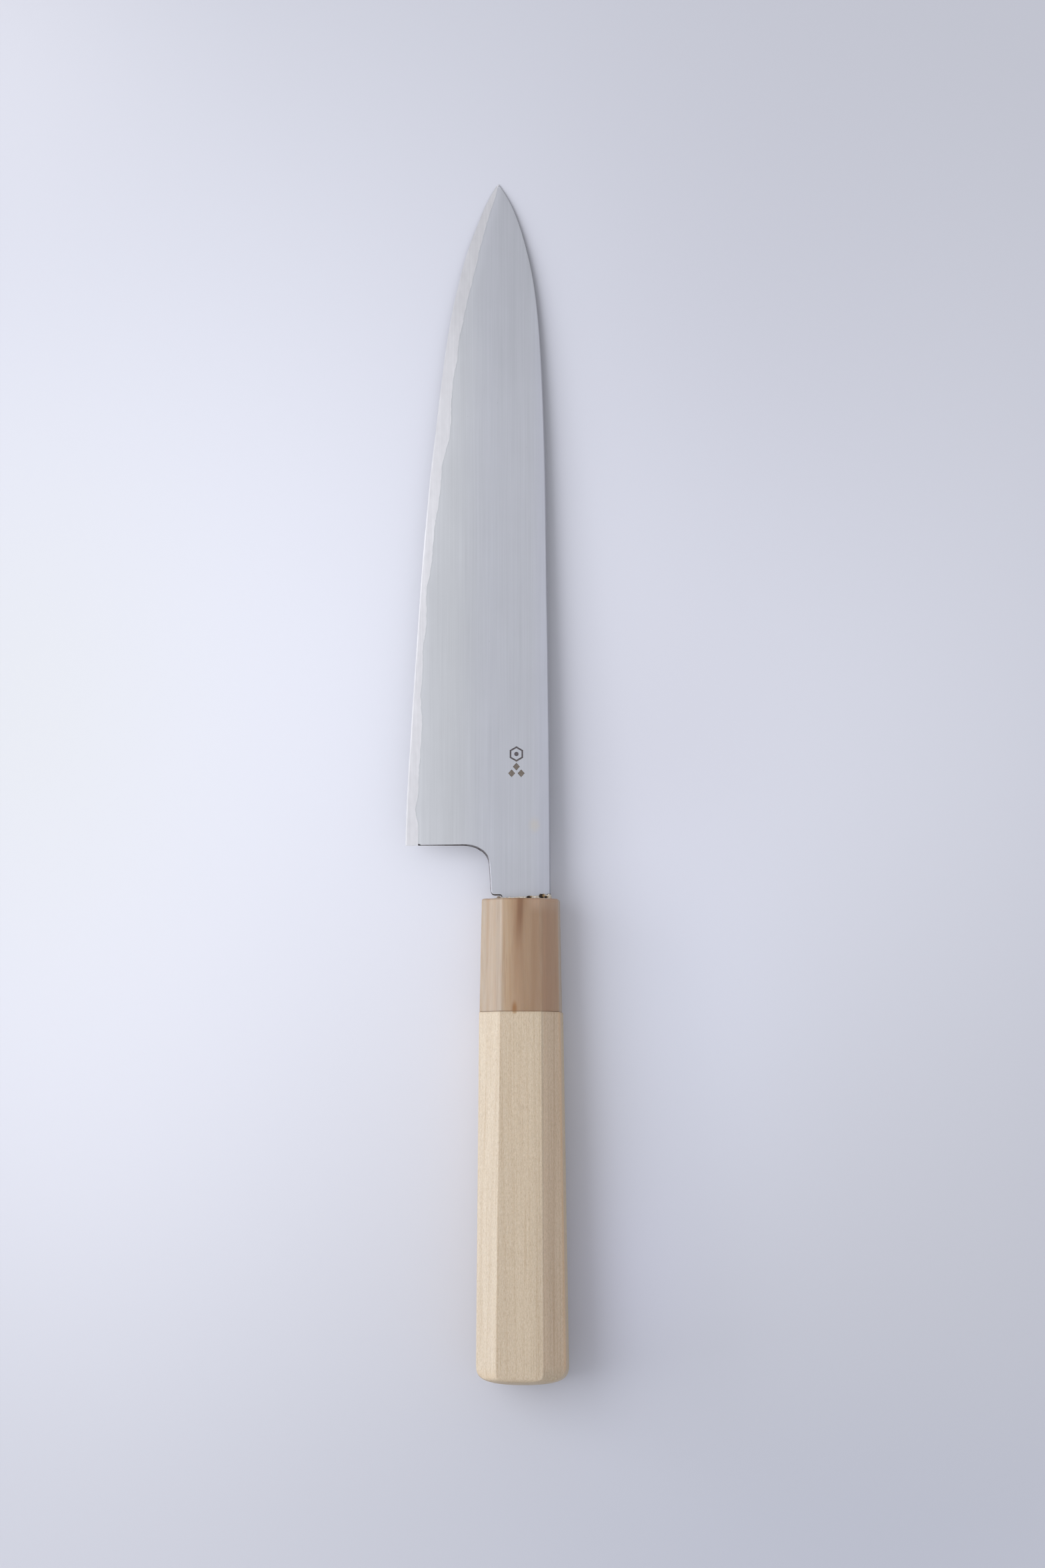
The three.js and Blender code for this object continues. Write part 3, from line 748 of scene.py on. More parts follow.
def notch_line(first):
    """From the heel along the choil, down the neck and round the tang to the spine's shoulder.
    first is the point on the heel line where the layer starts."""
    pts = [np.array([first])]
    pts.append(straight(first, (-16.2, 14.82), 0.45))
    curve = bezier((-16.2, 14.82), (-12.4, 14.75), (-9.4, 13.0), (-8.95, 9.9), 36)
    pts.append(curve)
    pts.append(straight((-8.95, 9.9), (-8.42, 2.2), 0.45))
    pts.append(quadratic((-8.42, 2.2), (-8.3, 1.05), (-7.2, 1.05), 8))
    pts.append(straight((-7.2, 1.05), (-5.88, 1.05), 0.45))
    pts.append(quadratic((-5.88, 1.05), (-5.38, 1.05), (-5.38, 0.45), 5))
    pts.append(straight((-5.38, 0.45), (-2.4, -93), 4.0))
    pts.append(straight((-2.4, -93), (-1.2, -95), 3.0))
    pts.append(straight((-1.2, -95), (1.4, -95), 3.0))
    pts.append(straight((1.4, -95), (2.6, -93), 3.0))
    pts.append(straight((2.6, -93), (7.1, 0.65), 4.0))
    pts.append(straight((7.1, 0.65), (7.4, 1.15), 0.4))
    pts.append(straight((7.4, 1.15), (8.195, 1.15), 0.4))
    line = np.concatenate(pts)
    # the choil was filed by hand: a faint waver, and one small burr on its curve
    for k in range(1, len(line)):
        x, y = line[k]
        if y > 2.5 and -31 < x < -8:
            d = 0.02 * noise.noise(Vector((x * 0.9, y * 0.9, 4.0)))
            b = math.exp(-(((x + 11.55) ** 2 + (y - 13.55) ** 2) / 0.16))
            line[k] += np.array([-0.7, -0.7]) * (d + 0.14 * b) * 0.7
    return line


def outline(left, top_y, bottom_left):
    """Closed outline, anticlockwise from the heel's left end: left side is x=left(y) from the heel to top_y."""
    notch = notch_line(bottom_left)
    ys = np.concatenate([[1.6, 2.6, 4.5], np.arange(6, HEEL_Y, 1.2), [y for y in blade_stations() if y < top_y - 0.05]])
    spine = np.stack([spine_x(ys), ys], 1)
    tip = np.array([[spine_x(top_y), top_y], [left(top_y), top_y]])
    if abs(tip[0][0] - tip[1][0]) < 0.02:
        tip = tip[:1]
    ls = np.array([y for y in blade_stations() if y < top_y - 0.05])[::-1]
    side = np.stack([left(ls), ls], 1)
    return notch, spine, tip, side


def nearest(points, line, normals, flags):
    """Distance to a polyline, with its normal and flag there."""
    a, b = line[:-1], line[1:]
    ab = b - a
    length2 = np.maximum((ab**2).sum(1), 1e-12)
    best_d = np.full(len(points), 1e9)
    best_i = np.zeros(len(points), int)
    best_t = np.zeros(len(points))
    for s in range(0, len(points), 4000):
        p = points[s : s + 4000]
        ap = p[:, None, :] - a[None]
        t = np.clip((ap * ab[None]).sum(2) / length2[None], 0, 1)
        d = np.linalg.norm(ap - ab[None] * t[..., None], axis=2)
        i = d.argmin(1)
        best_d[s : s + 4000] = d[np.arange(len(p)), i]
        best_i[s : s + 4000] = i
        best_t[s : s + 4000] = t[np.arange(len(p)), i]
    n = normals[best_i] * (1 - best_t[:, None]) + normals[best_i + 1] * best_t[:, None]
    n /= np.maximum(np.linalg.norm(n, axis=1, keepdims=True), 1e-9)
    return best_d, n, flags[best_i]


def line_normals(line):
    """Normals to the right of the direction of travel, which is outward here."""
    t = np.gradient(line, axis=0)
    n = np.stack([t[:, 1], -t[:, 0]], 1)
    return n / np.maximum(np.linalg.norm(n, axis=1, keepdims=True), 1e-9)


def star_polygon(cx, cy, r, n, start=90.0, stretch=1.0):
    return [
        (cx + r * math.cos(math.radians(start + 360 * k / n)), cy + stretch * r * math.sin(math.radians(start + 360 * k / n)))
        for k in range(n)
    ]


# a generic struck mark: a hexagonal ring round a dot, and three small lozenges below it
MARK_X, MARK_Y = -1.3, 38.1
MARK_DEPTH = 0.07
MARK_WALL = 0.035
RING = (MARK_X, MARK_Y + 2.15, 2.15, 1.62)
MARK_OUTER = [
    star_polygon(RING[0], RING[1], RING[2], 6, 90),
    star_polygon(RING[0], RING[1], 0.62, 10, 0),
    star_polygon(MARK_X, MARK_Y - 1.35, 0.98, 4, 90, 1.12),
    star_polygon(MARK_X - 1.32, MARK_Y - 3.2, 0.98, 4, 90, 1.12),
    star_polygon(MARK_X + 1.32, MARK_Y - 3.2, 0.98, 4, 90, 1.12),
]
MARK_ISLANDS = [star_polygon(RING[0], RING[1], RING[3], 6, 90)]


def refine(poly, step=0.3):
    out = []
    for k in range(len(poly)):
        a, b = np.array(poly[k]), np.array(poly[(k + 1) % len(poly)])
        n = max(1, int(round(np.linalg.norm(b - a) / step)))
        out += [a + (b - a) * (i / n) for i in range(n)]
    return np.array(out)


def shrink(poly, d):
    """The polygon moved in by d (all are convex)."""
    c = poly.mean(0)
    v = poly - c
    r = np.linalg.norm(v, axis=1, keepdims=True)
    return c + v * (1 - d * 1.15 / r)


def inside(points, poly):
    x, y = points[:, 0], points[:, 1]
    out = np.zeros(len(points), bool)
    j = len(poly) - 1
    for i in range(len(poly)):
        xi, yi, xj, yj = poly[i][0], poly[i][1], poly[j][0], poly[j][1]
        hit = ((yi > y) != (yj > y)) & (x < (xj - xi) * (y - yi) / (yj - yi + 1e-15) + xi)
        out ^= hit
        j = i
    return out


def triangulate(loops, extra, extra_lines=()):
    """Triangles inside the first loop. Returns points and triangles, anticlockwise, with the loops' points first."""
    coords, edges = [], []
    for loop in loops:
        s = len(coords)
        coords += [Vector((float(p[0]), float(p[1]))) for p in loop]
        edges += [(s + i, s + (i + 1) % len(loop)) for i in range(len(loop))]
    for line in extra_lines:
        s = len(coords)
        coords += [Vector((float(p[0]), float(p[1]))) for p in line]
        edges += [(s + i, s + i + 1) for i in range(len(line) - 1)]
    coords += [Vector((float(p[0]), float(p[1]))) for p in extra]
    v, _, f, ov, _, _ = delaunay_2d_cdt(coords, edges, [], 1, 1e-5)
    points = np.array([(q[0], q[1]) for q in v])
    where = {}
    for i, o in enumerate(ov):
        for k in o:
            where[k] = i
    index = [where[i] for i in range(len(loops[0]))]
    tris = np.array([t for t in f if len(t) == 3], int)
    a, b, c = points[tris[:, 0]], points[tris[:, 1]], points[tris[:, 2]]
    cross = (b[:, 0] - a[:, 0]) * (c[:, 1] - a[:, 1]) - (b[:, 1] - a[:, 1]) * (c[:, 0] - a[:, 0])
    tris[cross < 0] = tris[cross < 0][:, ::-1]
    mid = points[tris].mean(1)
    tris = tris[inside(mid, loops[0])]
    return points, tris, np.array(index)


def cladding(side, material, mark_material=None):
    """One cladding layer, from the lamination line to the spine, on the +Z (side 1) or -Z (side -1) face."""
    width = band[side]
    left = lambda y: edge_x(y) + width(y)
    top_y = 198.15
    first = (float(left(HEEL_Y)), HEEL_Y)
    notch, spine, tip, lower = outline(left, top_y, first)
    loop = np.concatenate([notch, spine, tip, lower])
    rounded = np.concatenate([notch, spine, tip[:1]])
    normals = -line_normals(rounded)
    # anticlockwise in the plane means the outside is on the right of travel
    area = 0.5 * np.sum(loop[:, 0] * np.roll(loop[:, 1], -1) - np.roll(loop[:, 0], -1) * loop[:, 1])
    if area > 0:
        normals = -normals
    is_spine = np.zeros(len(rounded))
    is_spine[len(notch) - 1 :] = 1.0

    face = surface

    def radius(x, y, flag):
        thick = face(x, y) - inner_half(x, y)
        return np.clip(np.where(flag > 0.5, 0.42, 0.36), 0.0, 0.8 * thick)

    # offset rows along the rounded border
    extra = []
    seg = np.linalg.norm(np.diff(rounded, axis=0), axis=1)
    for k in range(1, len(rounded) - 1):
        x, y = rounded[k]
        if y < -0.5:
            continue
        r = float(radius(x, y, is_spine[k]))
        if r < 0.02:
            continue
        steps = [r * (1 - math.cos(math.radians(phi))) for phi in (18, 36, 54, 72, 90)]
        steps.append(r + 0.35)
        if is_spine[k] < 0.5 and y > 6:
            steps = [q for q in steps if q < r + 0.01] + [q for q in (0.1, 0.2, 0.32, 0.45, 0.6, 0.85) if q > r + 0.04]
        for d in steps:
            if d >= 0.012:
                extra.append(rounded[k] - normals[k] * d)
    # rows along the lamination line
    for y in blade_stations():
        if y > top_y - 0.6:
            continue
        x0, x1 = float(left(y)), float(spine_x(y))
        for d in (0.12, 0.35, 0.8, 1.6):
            if x0 + d < x1 - 0.7:
                extra.append(np.array([x0 + d, y]))
    # the open face
    for y in np.concatenate([np.arange(-90, 14, 6), np.arange(15.6, 186, 1.8), np.arange(186, 197.5, 0.7)]):
        x0, x1 = float(left(max(y, HEEL_Y))), float(spine_x(y))
        for x in np.arange(x1 - 1.2, x0 + 2.4, -1.9):
            extra.append(np.array([x, y]))
    extra = np.array(extra)
    d, _, flag = nearest(extra, rounded, normals, is_spine)
    r = radius(extra[:, 0], extra[:, 1], flag)
    # keep clear of the loops, and drop stray points of one border's rows that fall in the other's
    keep = (d > 0.011) & inside(extra, loop) & (extra[:, 0] > left(np.maximum(extra[:, 1], HEEL_Y)) + 0.05)
    loops = [loop]
    if mark_material is not None:
        cutters = []
        for poly in MARK_OUTER:
            p = refine(poly)
            cutters += [p, shrink(p, MARK_WALL)]
        for poly in MARK_ISLANDS:
            p = refine(poly)
            cutters += [p, shrink(p, -MARK_WALL)]
        near = (np.abs(extra[:, 0] - MARK_X) < 3.2) & (np.abs(extra[:, 1] - MARK_Y) < 5.4)
        keep &= ~near
        loops += cutters
        ring = []
        for x in np.arange(MARK_X - 3.2, MARK_X + 3.3, 0.8):
            for y in np.arange(MARK_Y - 5.4, MARK_Y + 5.5, 0.9):
                q = np.array([[x, y]])
                if all(np.linalg.norm(c - q, axis=1).min() > 0.3 for c in cutters):
                    ring.append(q[0])
        extra = np.concatenate([extra[keep], np.array(ring)])
    else:
        extra = extra[keep]
    points, tris, index = triangulate(loops, extra)
    x, y = points[:, 0], points[:, 1]
    d, out, flag = nearest(points, rounded, normals, is_spine)
    r = np.maximum(radius(x, y, flag), 1e-4)
    k = np.clip((r - d) / r, 0, 1)
    z = face(x, y) - r * (1 - np.sqrt(np.maximum(1 - k * k, 0)))
    sunk = np.zeros(len(points), bool)
    if mark_material is not None:
        for poly in MARK_OUTER:
            inner = shrink(refine(poly), MARK_WALL * 0.9)
            sunk |= inside(points, inner)
        for poly in MARK_ISLANDS:
            sunk &= ~inside(points, shrink(refine(poly), -MARK_WALL * 0.9))
        dot = inside(points, shrink(refine(MARK_OUTER[1]), MARK_WALL * 0.9))
        sunk |= dot
        z = z - np.where(sunk, MARK_DEPTH, 0.0)
    low = inner_half(x, y)
    z = np.maximum(z, low + 0.003)

    # loop normals of the face: the gradient just inside each triangle, bent over at the rounded border
    corner = points[tris].reshape(-1, 2)
    mid = np.repeat(points[tris].mean(1), 3, axis=0)
    probe = corner + (mid - corner) * 0.04
    h = 0.05
    gx = (face(probe[:, 0] + h, probe[:, 1]) - face(probe[:, 0] - h, probe[:, 1])) / (2 * h)
    gy = (face(probe[:, 0], probe[:, 1] + 0.5) - face(probe[:, 0], probe[:, 1] - 0.5)) / 1.0
    n = np.stack([-gx, -gy, np.ones(len(gx))], 1)
    n /= np.linalg.norm(n, axis=1, keepdims=True)
    kk = k[tris.ravel()][:, None]
    oo = np.concatenate([out, np.zeros((len(out), 1))], 1)[tris.ravel()]
    n = n * np.sqrt(np.maximum(1 - kk * kk, 0)) + oo * kk
    if mark_material is not None:  # the mark's walls and floor are flat-shaded
        wall = (sunk[tris].any(1)) & ~(sunk[tris].all(1))
        floor = sunk[tris].all(1)
        p3 = np.concatenate([points, z[:, None]], 1)[tris]
        flat = np.cross(p3[:, 1] - p3[:, 0], p3[:, 2] - p3[:, 0])
        flat /= np.maximum(np.linalg.norm(flat, axis=1, keepdims=True), 1e-12)
        which = np.repeat(wall | floor, 3)
        n[which] = np.repeat(flat, 3, axis=0)[which]
        face_material = np.where(wall | floor, 1, 0)
    else:
        face_material = np.zeros(len(tris), int)

    # inner face: the border only
    under = [(3.0, float(q)) for q in np.arange(-80, 190, 15)]
    for q in blade_stations():
        for d2 in (0.6, 1.5, 3.0, 5.0):
            if float(left(q)) + d2 < float(spine_x(q)) - 0.5:
                under.append((float(left(q)) + d2, float(q)))
    bp, bt, bi = triangulate([loop], under)
    count = len(points)
    base = np.concatenate([bp, inner_half(bp[:, 0], bp[:, 1])[:, None]], 1)
    verts = np.concatenate([np.concatenate([points, z[:, None]], 1), base])
    faces = [tuple(t) for t in tris]
    faces += [tuple(t[::-1] + count) for t in bt]
    nb = [(0, 0, -1)] * (3 * len(bt))
    uv = [(p[0] * 0.1, p[1] * 0.1) for p in verts[tris.ravel()][:, :2]]
    uv += [(p[0] * 0.1, p[1] * 0.1) for p in bp[bt[:, ::-1].ravel()]]
    normal_list = [n, np.array(nb, float)]
    nl = line_normals(loop) if area > 0 else -line_normals(loop)
    m = len(loop)
    wall_n, wall_uv = [], []
    run = np.concatenate([[0], np.cumsum(np.linalg.norm(np.diff(np.concatenate([loop, loop[:1]]), axis=0), axis=1))])
    for i in range(m):
        j = (i + 1) % m
        a, b = index[i], index[j]
        c, e = bi[j] + count, bi[i] + count
        faces.append((a, e, c, b))
        na, nb2 = (*nl[i], 0), (*nl[j], 0)
        wall_n += [na, na, nb2, nb2]
        wall_uv += [(run[i] * 0.1, z[a] * 0.1), (run[i] * 0.1, 0), (run[i + 1] * 0.1, 0), (run[i + 1] * 0.1, z[b] * 0.1)]
    normal_list.append(np.array(wall_n, float))
    uv += wall_uv
    # painted dark reflection along the choil: a dark line that widens towards its curve and fades out down the neck
    reach = np.interp(x, [-28.6, -27, -22, -17, -13, -10.5, -9.2, -8.8], [0.14, 0.3, 0.38, 0.5, 0.68, 0.7, 0.58, 0.22])
    reach = np.where((y < 9.5) & (x < 0), 0.12, reach)
    choil_dark_reflection = np.clip(1.5 * (1 - d / np.maximum(reach, 0.05)), 0, 1)
    rough_edge_and_shade = np.concatenate([np.where(flag > 0.5, 0.30 * k, np.maximum(k * np.where(y < 9.5, 0.82, 1.0), choil_dark_reflection)), np.ones(len(bp))])
    from_line = np.concatenate([points[:, 0] - left(np.maximum(points[:, 1], HEEL_Y)), np.full(len(bp), 9.0)])
    face_material = np.concatenate([face_material, np.zeros(len(bt) + m, int)])
    normals_all = np.concatenate(normal_list)
    if side < 0:
        verts[:, 2] *= -1
        normals_all[:, 2] *= -1
        flipped, fn, fu = [], [], []
        s = 0
        uv = np.array(uv)
        for f in faces:
            q = len(f)
            flipped.append(tuple(reversed(f)))
            fn.append(normals_all[s : s + q][::-1])
            fu.append(uv[s : s + q][::-1])
            s += q
        faces, normals_all, uv = flipped, np.concatenate(fn), np.concatenate(fu)
    name = "cladding_left" if side > 0 else "cladding_right"
    mats = [material] + ([mark_material] if mark_material else [])
    return make_object(name, verts, faces, normals_all, uv, {"rough_edge_and_shade": rough_edge_and_shade, "from_line": from_line}, mats, face_material)


def core(material):
    """The hard core layer: the whole outline, bare along the edge and hidden between the claddings above it."""
    first = (float(edge_x(HEEL_Y)), HEEL_Y)
    notch, spine, tip, lower = outline(edge_x, TIP_Y, first)
    loop = np.concatenate([notch, spine, tip, lower])
    area = 0.5 * np.sum(loop[:, 0] * np.roll(loop[:, 1], -1) - np.roll(loop[:, 0], -1) * loop[:, 1])

    def face(x, y, side):
        b = band[side](np.maximum(y, HEEL_Y))
        under = inner_half(x, y)
        under = under - np.minimum(0.015, 0.4 * under)
        return np.where(x - edge_x(y) < b - 0.005, surface(x, y) - 0.001, under)

    rows = []
    ys = blade_stations()
    ys = ys[ys < TIP_Y - 0.3]
    ys = np.concatenate([[HEEL_Y + 0.25], ys])
    parts = []
    for side in (1, -1):
        extra = []
        for y in ys:
            e, b, room = float(edge_x(y)), float(band[side](y)), float(spine_x(y) - edge_x(y))
            m = min(0.30, 0.25 * room)
            if room < 0.9:
                continue
            extra.append((e + m, y))
            extra.append((e + m + 0.05, y))
            top = min(b, room - 0.3)
            for s in (0.35, 0.68):
                extra.append((e + m + (top - m) * s, y))
            if b < room - 0.2:
                extra.append((e + b - 0.02, y))
                extra.append((e + b + 0.03, y))
                extra += [(e + b + q, y) for q in (0.6, 1.5, 3.0, 5.0) if b + q < room - 0.3]
        for y in list(np.arange(-80, 190, 12)):
            extra.append((2.0, float(y)))
        extra = np.array(extra)
        extra = extra[inside(extra, loop)]
        points, tris, index = triangulate([loop], extra)
        x, y = points[:, 0], points[:, 1]
        z = face(x, y, side)
        corner = points[tris].reshape(-1, 2)
        mid = np.repeat(points[tris].mean(1), 3, axis=0)
        probe = corner + (mid - corner) * 0.12
        h = 0.01
        gx = (face(probe[:, 0] + h, probe[:, 1], side) - face(probe[:, 0] - h, probe[:, 1], side)) / (2 * h)
        gy = (face(probe[:, 0], probe[:, 1] + 0.1, side) - face(probe[:, 0], probe[:, 1] - 0.1, side)) / 0.2
        gx, gy = np.clip(gx, -0.4, 0.4), np.clip(gy, -0.1, 0.1)
        n = np.stack([-gx, -gy, np.ones(len(gx))], 1)
        parts.append((points, tris, index, z, n))
    (pa, ta, ia, za, na), (pb, tb, ib, zb, nb) = parts
    count = len(pa)
    verts = np.concatenate([np.concatenate([pa, za[:, None]], 1), np.concatenate([pb, -zb[:, None]], 1)])
    nb = nb * np.array([1, 1, -1])
    order = np.arange(len(tb) * 3).reshape(-1, 3)[:, ::-1].ravel()
    faces = [tuple(t) for t in ta] + [tuple(t[::-1] + count) for t in tb]
    normals = [na, nb[order]]
    uv = [(p[0] * 0.1, p[1] * 0.1) for p in pa[ta.ravel()]] + [(p[0] * 0.1, p[1] * 0.1) for p in pb[tb[:, ::-1].ravel()]]
    nl = line_normals(loop) if area > 0 else -line_normals(loop)
    m = len(loop)
    run = np.concatenate([[0], np.cumsum(np.linalg.norm(np.diff(np.concatenate([loop, loop[:1]]), axis=0), axis=1))])
    wn = []
    for i in range(m):
        j = (i + 1) % m
        a, b, c, e = ia[i], ia[j], ib[j] + count, ib[i] + count
        faces.append((a, e, c, b))
        q, w = (*nl[i], 0), (*nl[j], 0)
        wn += [q, q, w, w]
        uv += [(run[i] * 0.1, 0.1), (run[i] * 0.1, 0), (run[i + 1] * 0.1, 0), (run[i + 1] * 0.1, 0.1)]
    normals.append(np.array(wn, float))
    return make_object("blade_core", verts, faces, np.concatenate(normals), uv, {"rough_edge_and_shade": np.zeros(len(verts))}, [material])


# ---- handle -------------------------------------------------------------------------------------------------
def ferrule(material):
    s = Loft()
    front = FERRULE[0]

    def wobble_at(y):
        return lambda k, t: max(0.0, 0.05 + 0.05 * noise.noise(Vector((k * 3.7, y * 0.06, t * 1.5))))

    rings = []
    for y, dx in ((0.0, 0.6), (-0.05, 0.38), (-0.18, 0.19), (-0.4, 0.06), (-0.78, 0.0)):
        row = inset_row(interpolate_row(FERRULE, y), y, dx, dx * 0.95)
        rings.append(s.ring(octagon_ring(row, 1.25), True))
    for y in np.linspace(-3.0, -31.0, 11):
        rings.append(s.ring(octagon_ring(interpolate_row(FERRULE, y), 1.3, wobble_at(y)), True))
    for y, dx in ((-31.32, 0.02), (-31.4, 0.1)):
        rings.append(s.ring(octagon_ring(inset_row(interpolate_row(FERRULE, y), y, dx, dx), 1.15), True))
    for a, b in zip(rings, rings[1:]):
        s.strip(a, b, 0)
    outer_front = [s.v[i] for i in rings[0]]
    outer_back = [s.v[i] for i in rings[-1]]
    bore = [s.ring(circle_like(outer_back, BORE_R, y)) for y in (-31.4, -21.0, -10.5, -0.08)]
    lip = s.ring(circle_like(outer_front, BORE_R + 0.05, 0.0))
    s.strip(rings[-1], bore[0], 1)
    for a, b in zip(bore, bore[1:]):
        s.strip(a, b, 2)
    s.strip(bore[-1], lip, 3)
    mid = s.ring(
        [
            ((p[0] * 0.5 + q[0] * 0.5), 0.0, (p[2] * 0.5 + q[2] * 0.5))
            for p, q in zip([s.v[i] for i in lip], outer_front)
        ]
    )
    s.strip(lip, mid, 4)
    s.strip(mid, rings[0], 4)
    return s.build("horn_ferrule_look", [material])


def handle(material):
    s = Loft()
    bed, fit = 0.4, 0.03

    def slot(y, wall):
        t = min(1.0, max(0.0, (y + 95) / (1.05 - 0.6 + 95)))
        lo = -2.4 + (-5.38 + 2.4) * t - wall
        hi = 2.6 + (7.1 - 2.6) * t + wall
        half = float(np.interp(min(y, 0), [r[0] for r in SPINE_HALF], [r[1] for r in SPINE_HALF])) + wall
        return lo, hi, half

    guide = octagon_ring(interpolate_row(HANDLE, -31.43), 0.55)
    wall = bed + fit
    rows = [-97.03, -86, -76, -66, -57, -48, -40, -32, -24, -16, -8, -0.2]
    inner = [s.ring(rectangle_like(guide, *slot(y, wall), y)) for y in rows]
    s.fan(inner[0], (0.1, rows[0], 0), 5, first=True)
    for a, b in zip(inner, inner[1:]):
        s.strip(a, b, 5)
    face_mid = s.ring([((p[0] + q[0]) / 2, -0.2, (p[2] + q[2]) / 2) for p, q in zip([s.v[i] for i in inner[-1]], circle_like(guide, TENON_R - 0.06, -0.2))])
    rim = s.ring(circle_like(guide, TENON_R - 0.06, -0.2))
    s.strip(inner[-1], face_mid, 1)
    s.strip(face_mid, rim, 1)
    tenon = [s.ring(circle_like(guide, TENON_R, y)) for y in (-0.28, -10.5, -21.0, -31.43)]
    s.strip(rim, tenon[0], 2)
    for a, b in zip(tenon, tenon[1:]):
        s.strip(a, b, 3)

    def wobble_at(y):
        return lambda k, t: max(0.0, 0.07 + 0.09 * noise.noise(Vector((k * 5.1 + 2, y * 0.035, t * 1.2))))

    rings = []
    for y, dx in ((-31.43, 0.14), (-31.47, 0.05), (-31.6, 0.0)):
        rings.append(s.ring(octagon_ring(inset_row(interpolate_row(HANDLE, y), y, dx, dx), 0.55), True))
    for y in np.linspace(-33.5, -128.0, 46):
        rings.append(s.ring(octagon_ring(interpolate_row(HANDLE, y), 0.55 + 0.12 * abs(noise.noise(Vector((y * 0.05, 1, 1)))), wobble_at(y)), True))
    s.strip(tenon[-1], rings[0], 4)
    butt = HANDLE[-1]
    # the butt: a shallow dome with soft shoulders, whose facet edges run on almost to the end.
    # each row is [Y, pulled in at the sides, at the top and bottom, and square to the slanted facets]
    table = [
        (-130.3, 0.08, 0.06, 0.04), (-131.2, 0.32, 0.10, 0.08), (-132.0, 0.8, 0.14, 0.15), (-132.6, 1.45, 0.19, 0.27),
        (-133.05, 2.2, 0.25, 0.46), (-133.4, 3.1, 0.35, 0.78), (-133.7, 4.2, 0.50, 1.35), (-133.95, 5.3, 0.78, 2.2),
        (-134.18, 6.8, 1.4, 3.6), (-134.37, 8.5, 2.8, 5.5), (-134.5, 10.2, 5.4, 7.8), (-134.57, 11.4, 8.2, 10.4),
    ]
    _, left, tl, tr, ru, rl, top, side = butt
    rings.append(s.ring(octagon_ring(butt, 0.55, wobble_at(-129.2)), True))
    for y, dx, dz, dc in table:
        sx, sz = tl - left, top - side
        slant = math.hypot(sx, sz)
        wx = ru - tr
        row = [
            y, left + dx, tl - dz * sx / sz + dc * slant / sz, tr + dz * wx / sz - dc * math.hypot(wx, sz) / sz,
            ru - 0.9 * dx, rl - 0.94 * dx, top - dz, side + dx * sz / sx - dc * slant / sx,
        ]
        rings.append(s.ring(octagon_ring(row, 0.55 + 0.02 * dx), y > -133.5))
    for a, b in zip(rings, rings[1:]):
        s.strip(a, b, 0)
    s.fan(rings[-1], (0.3, -134.59, 0), 0)
    return s.build("handle_body_look", [material])


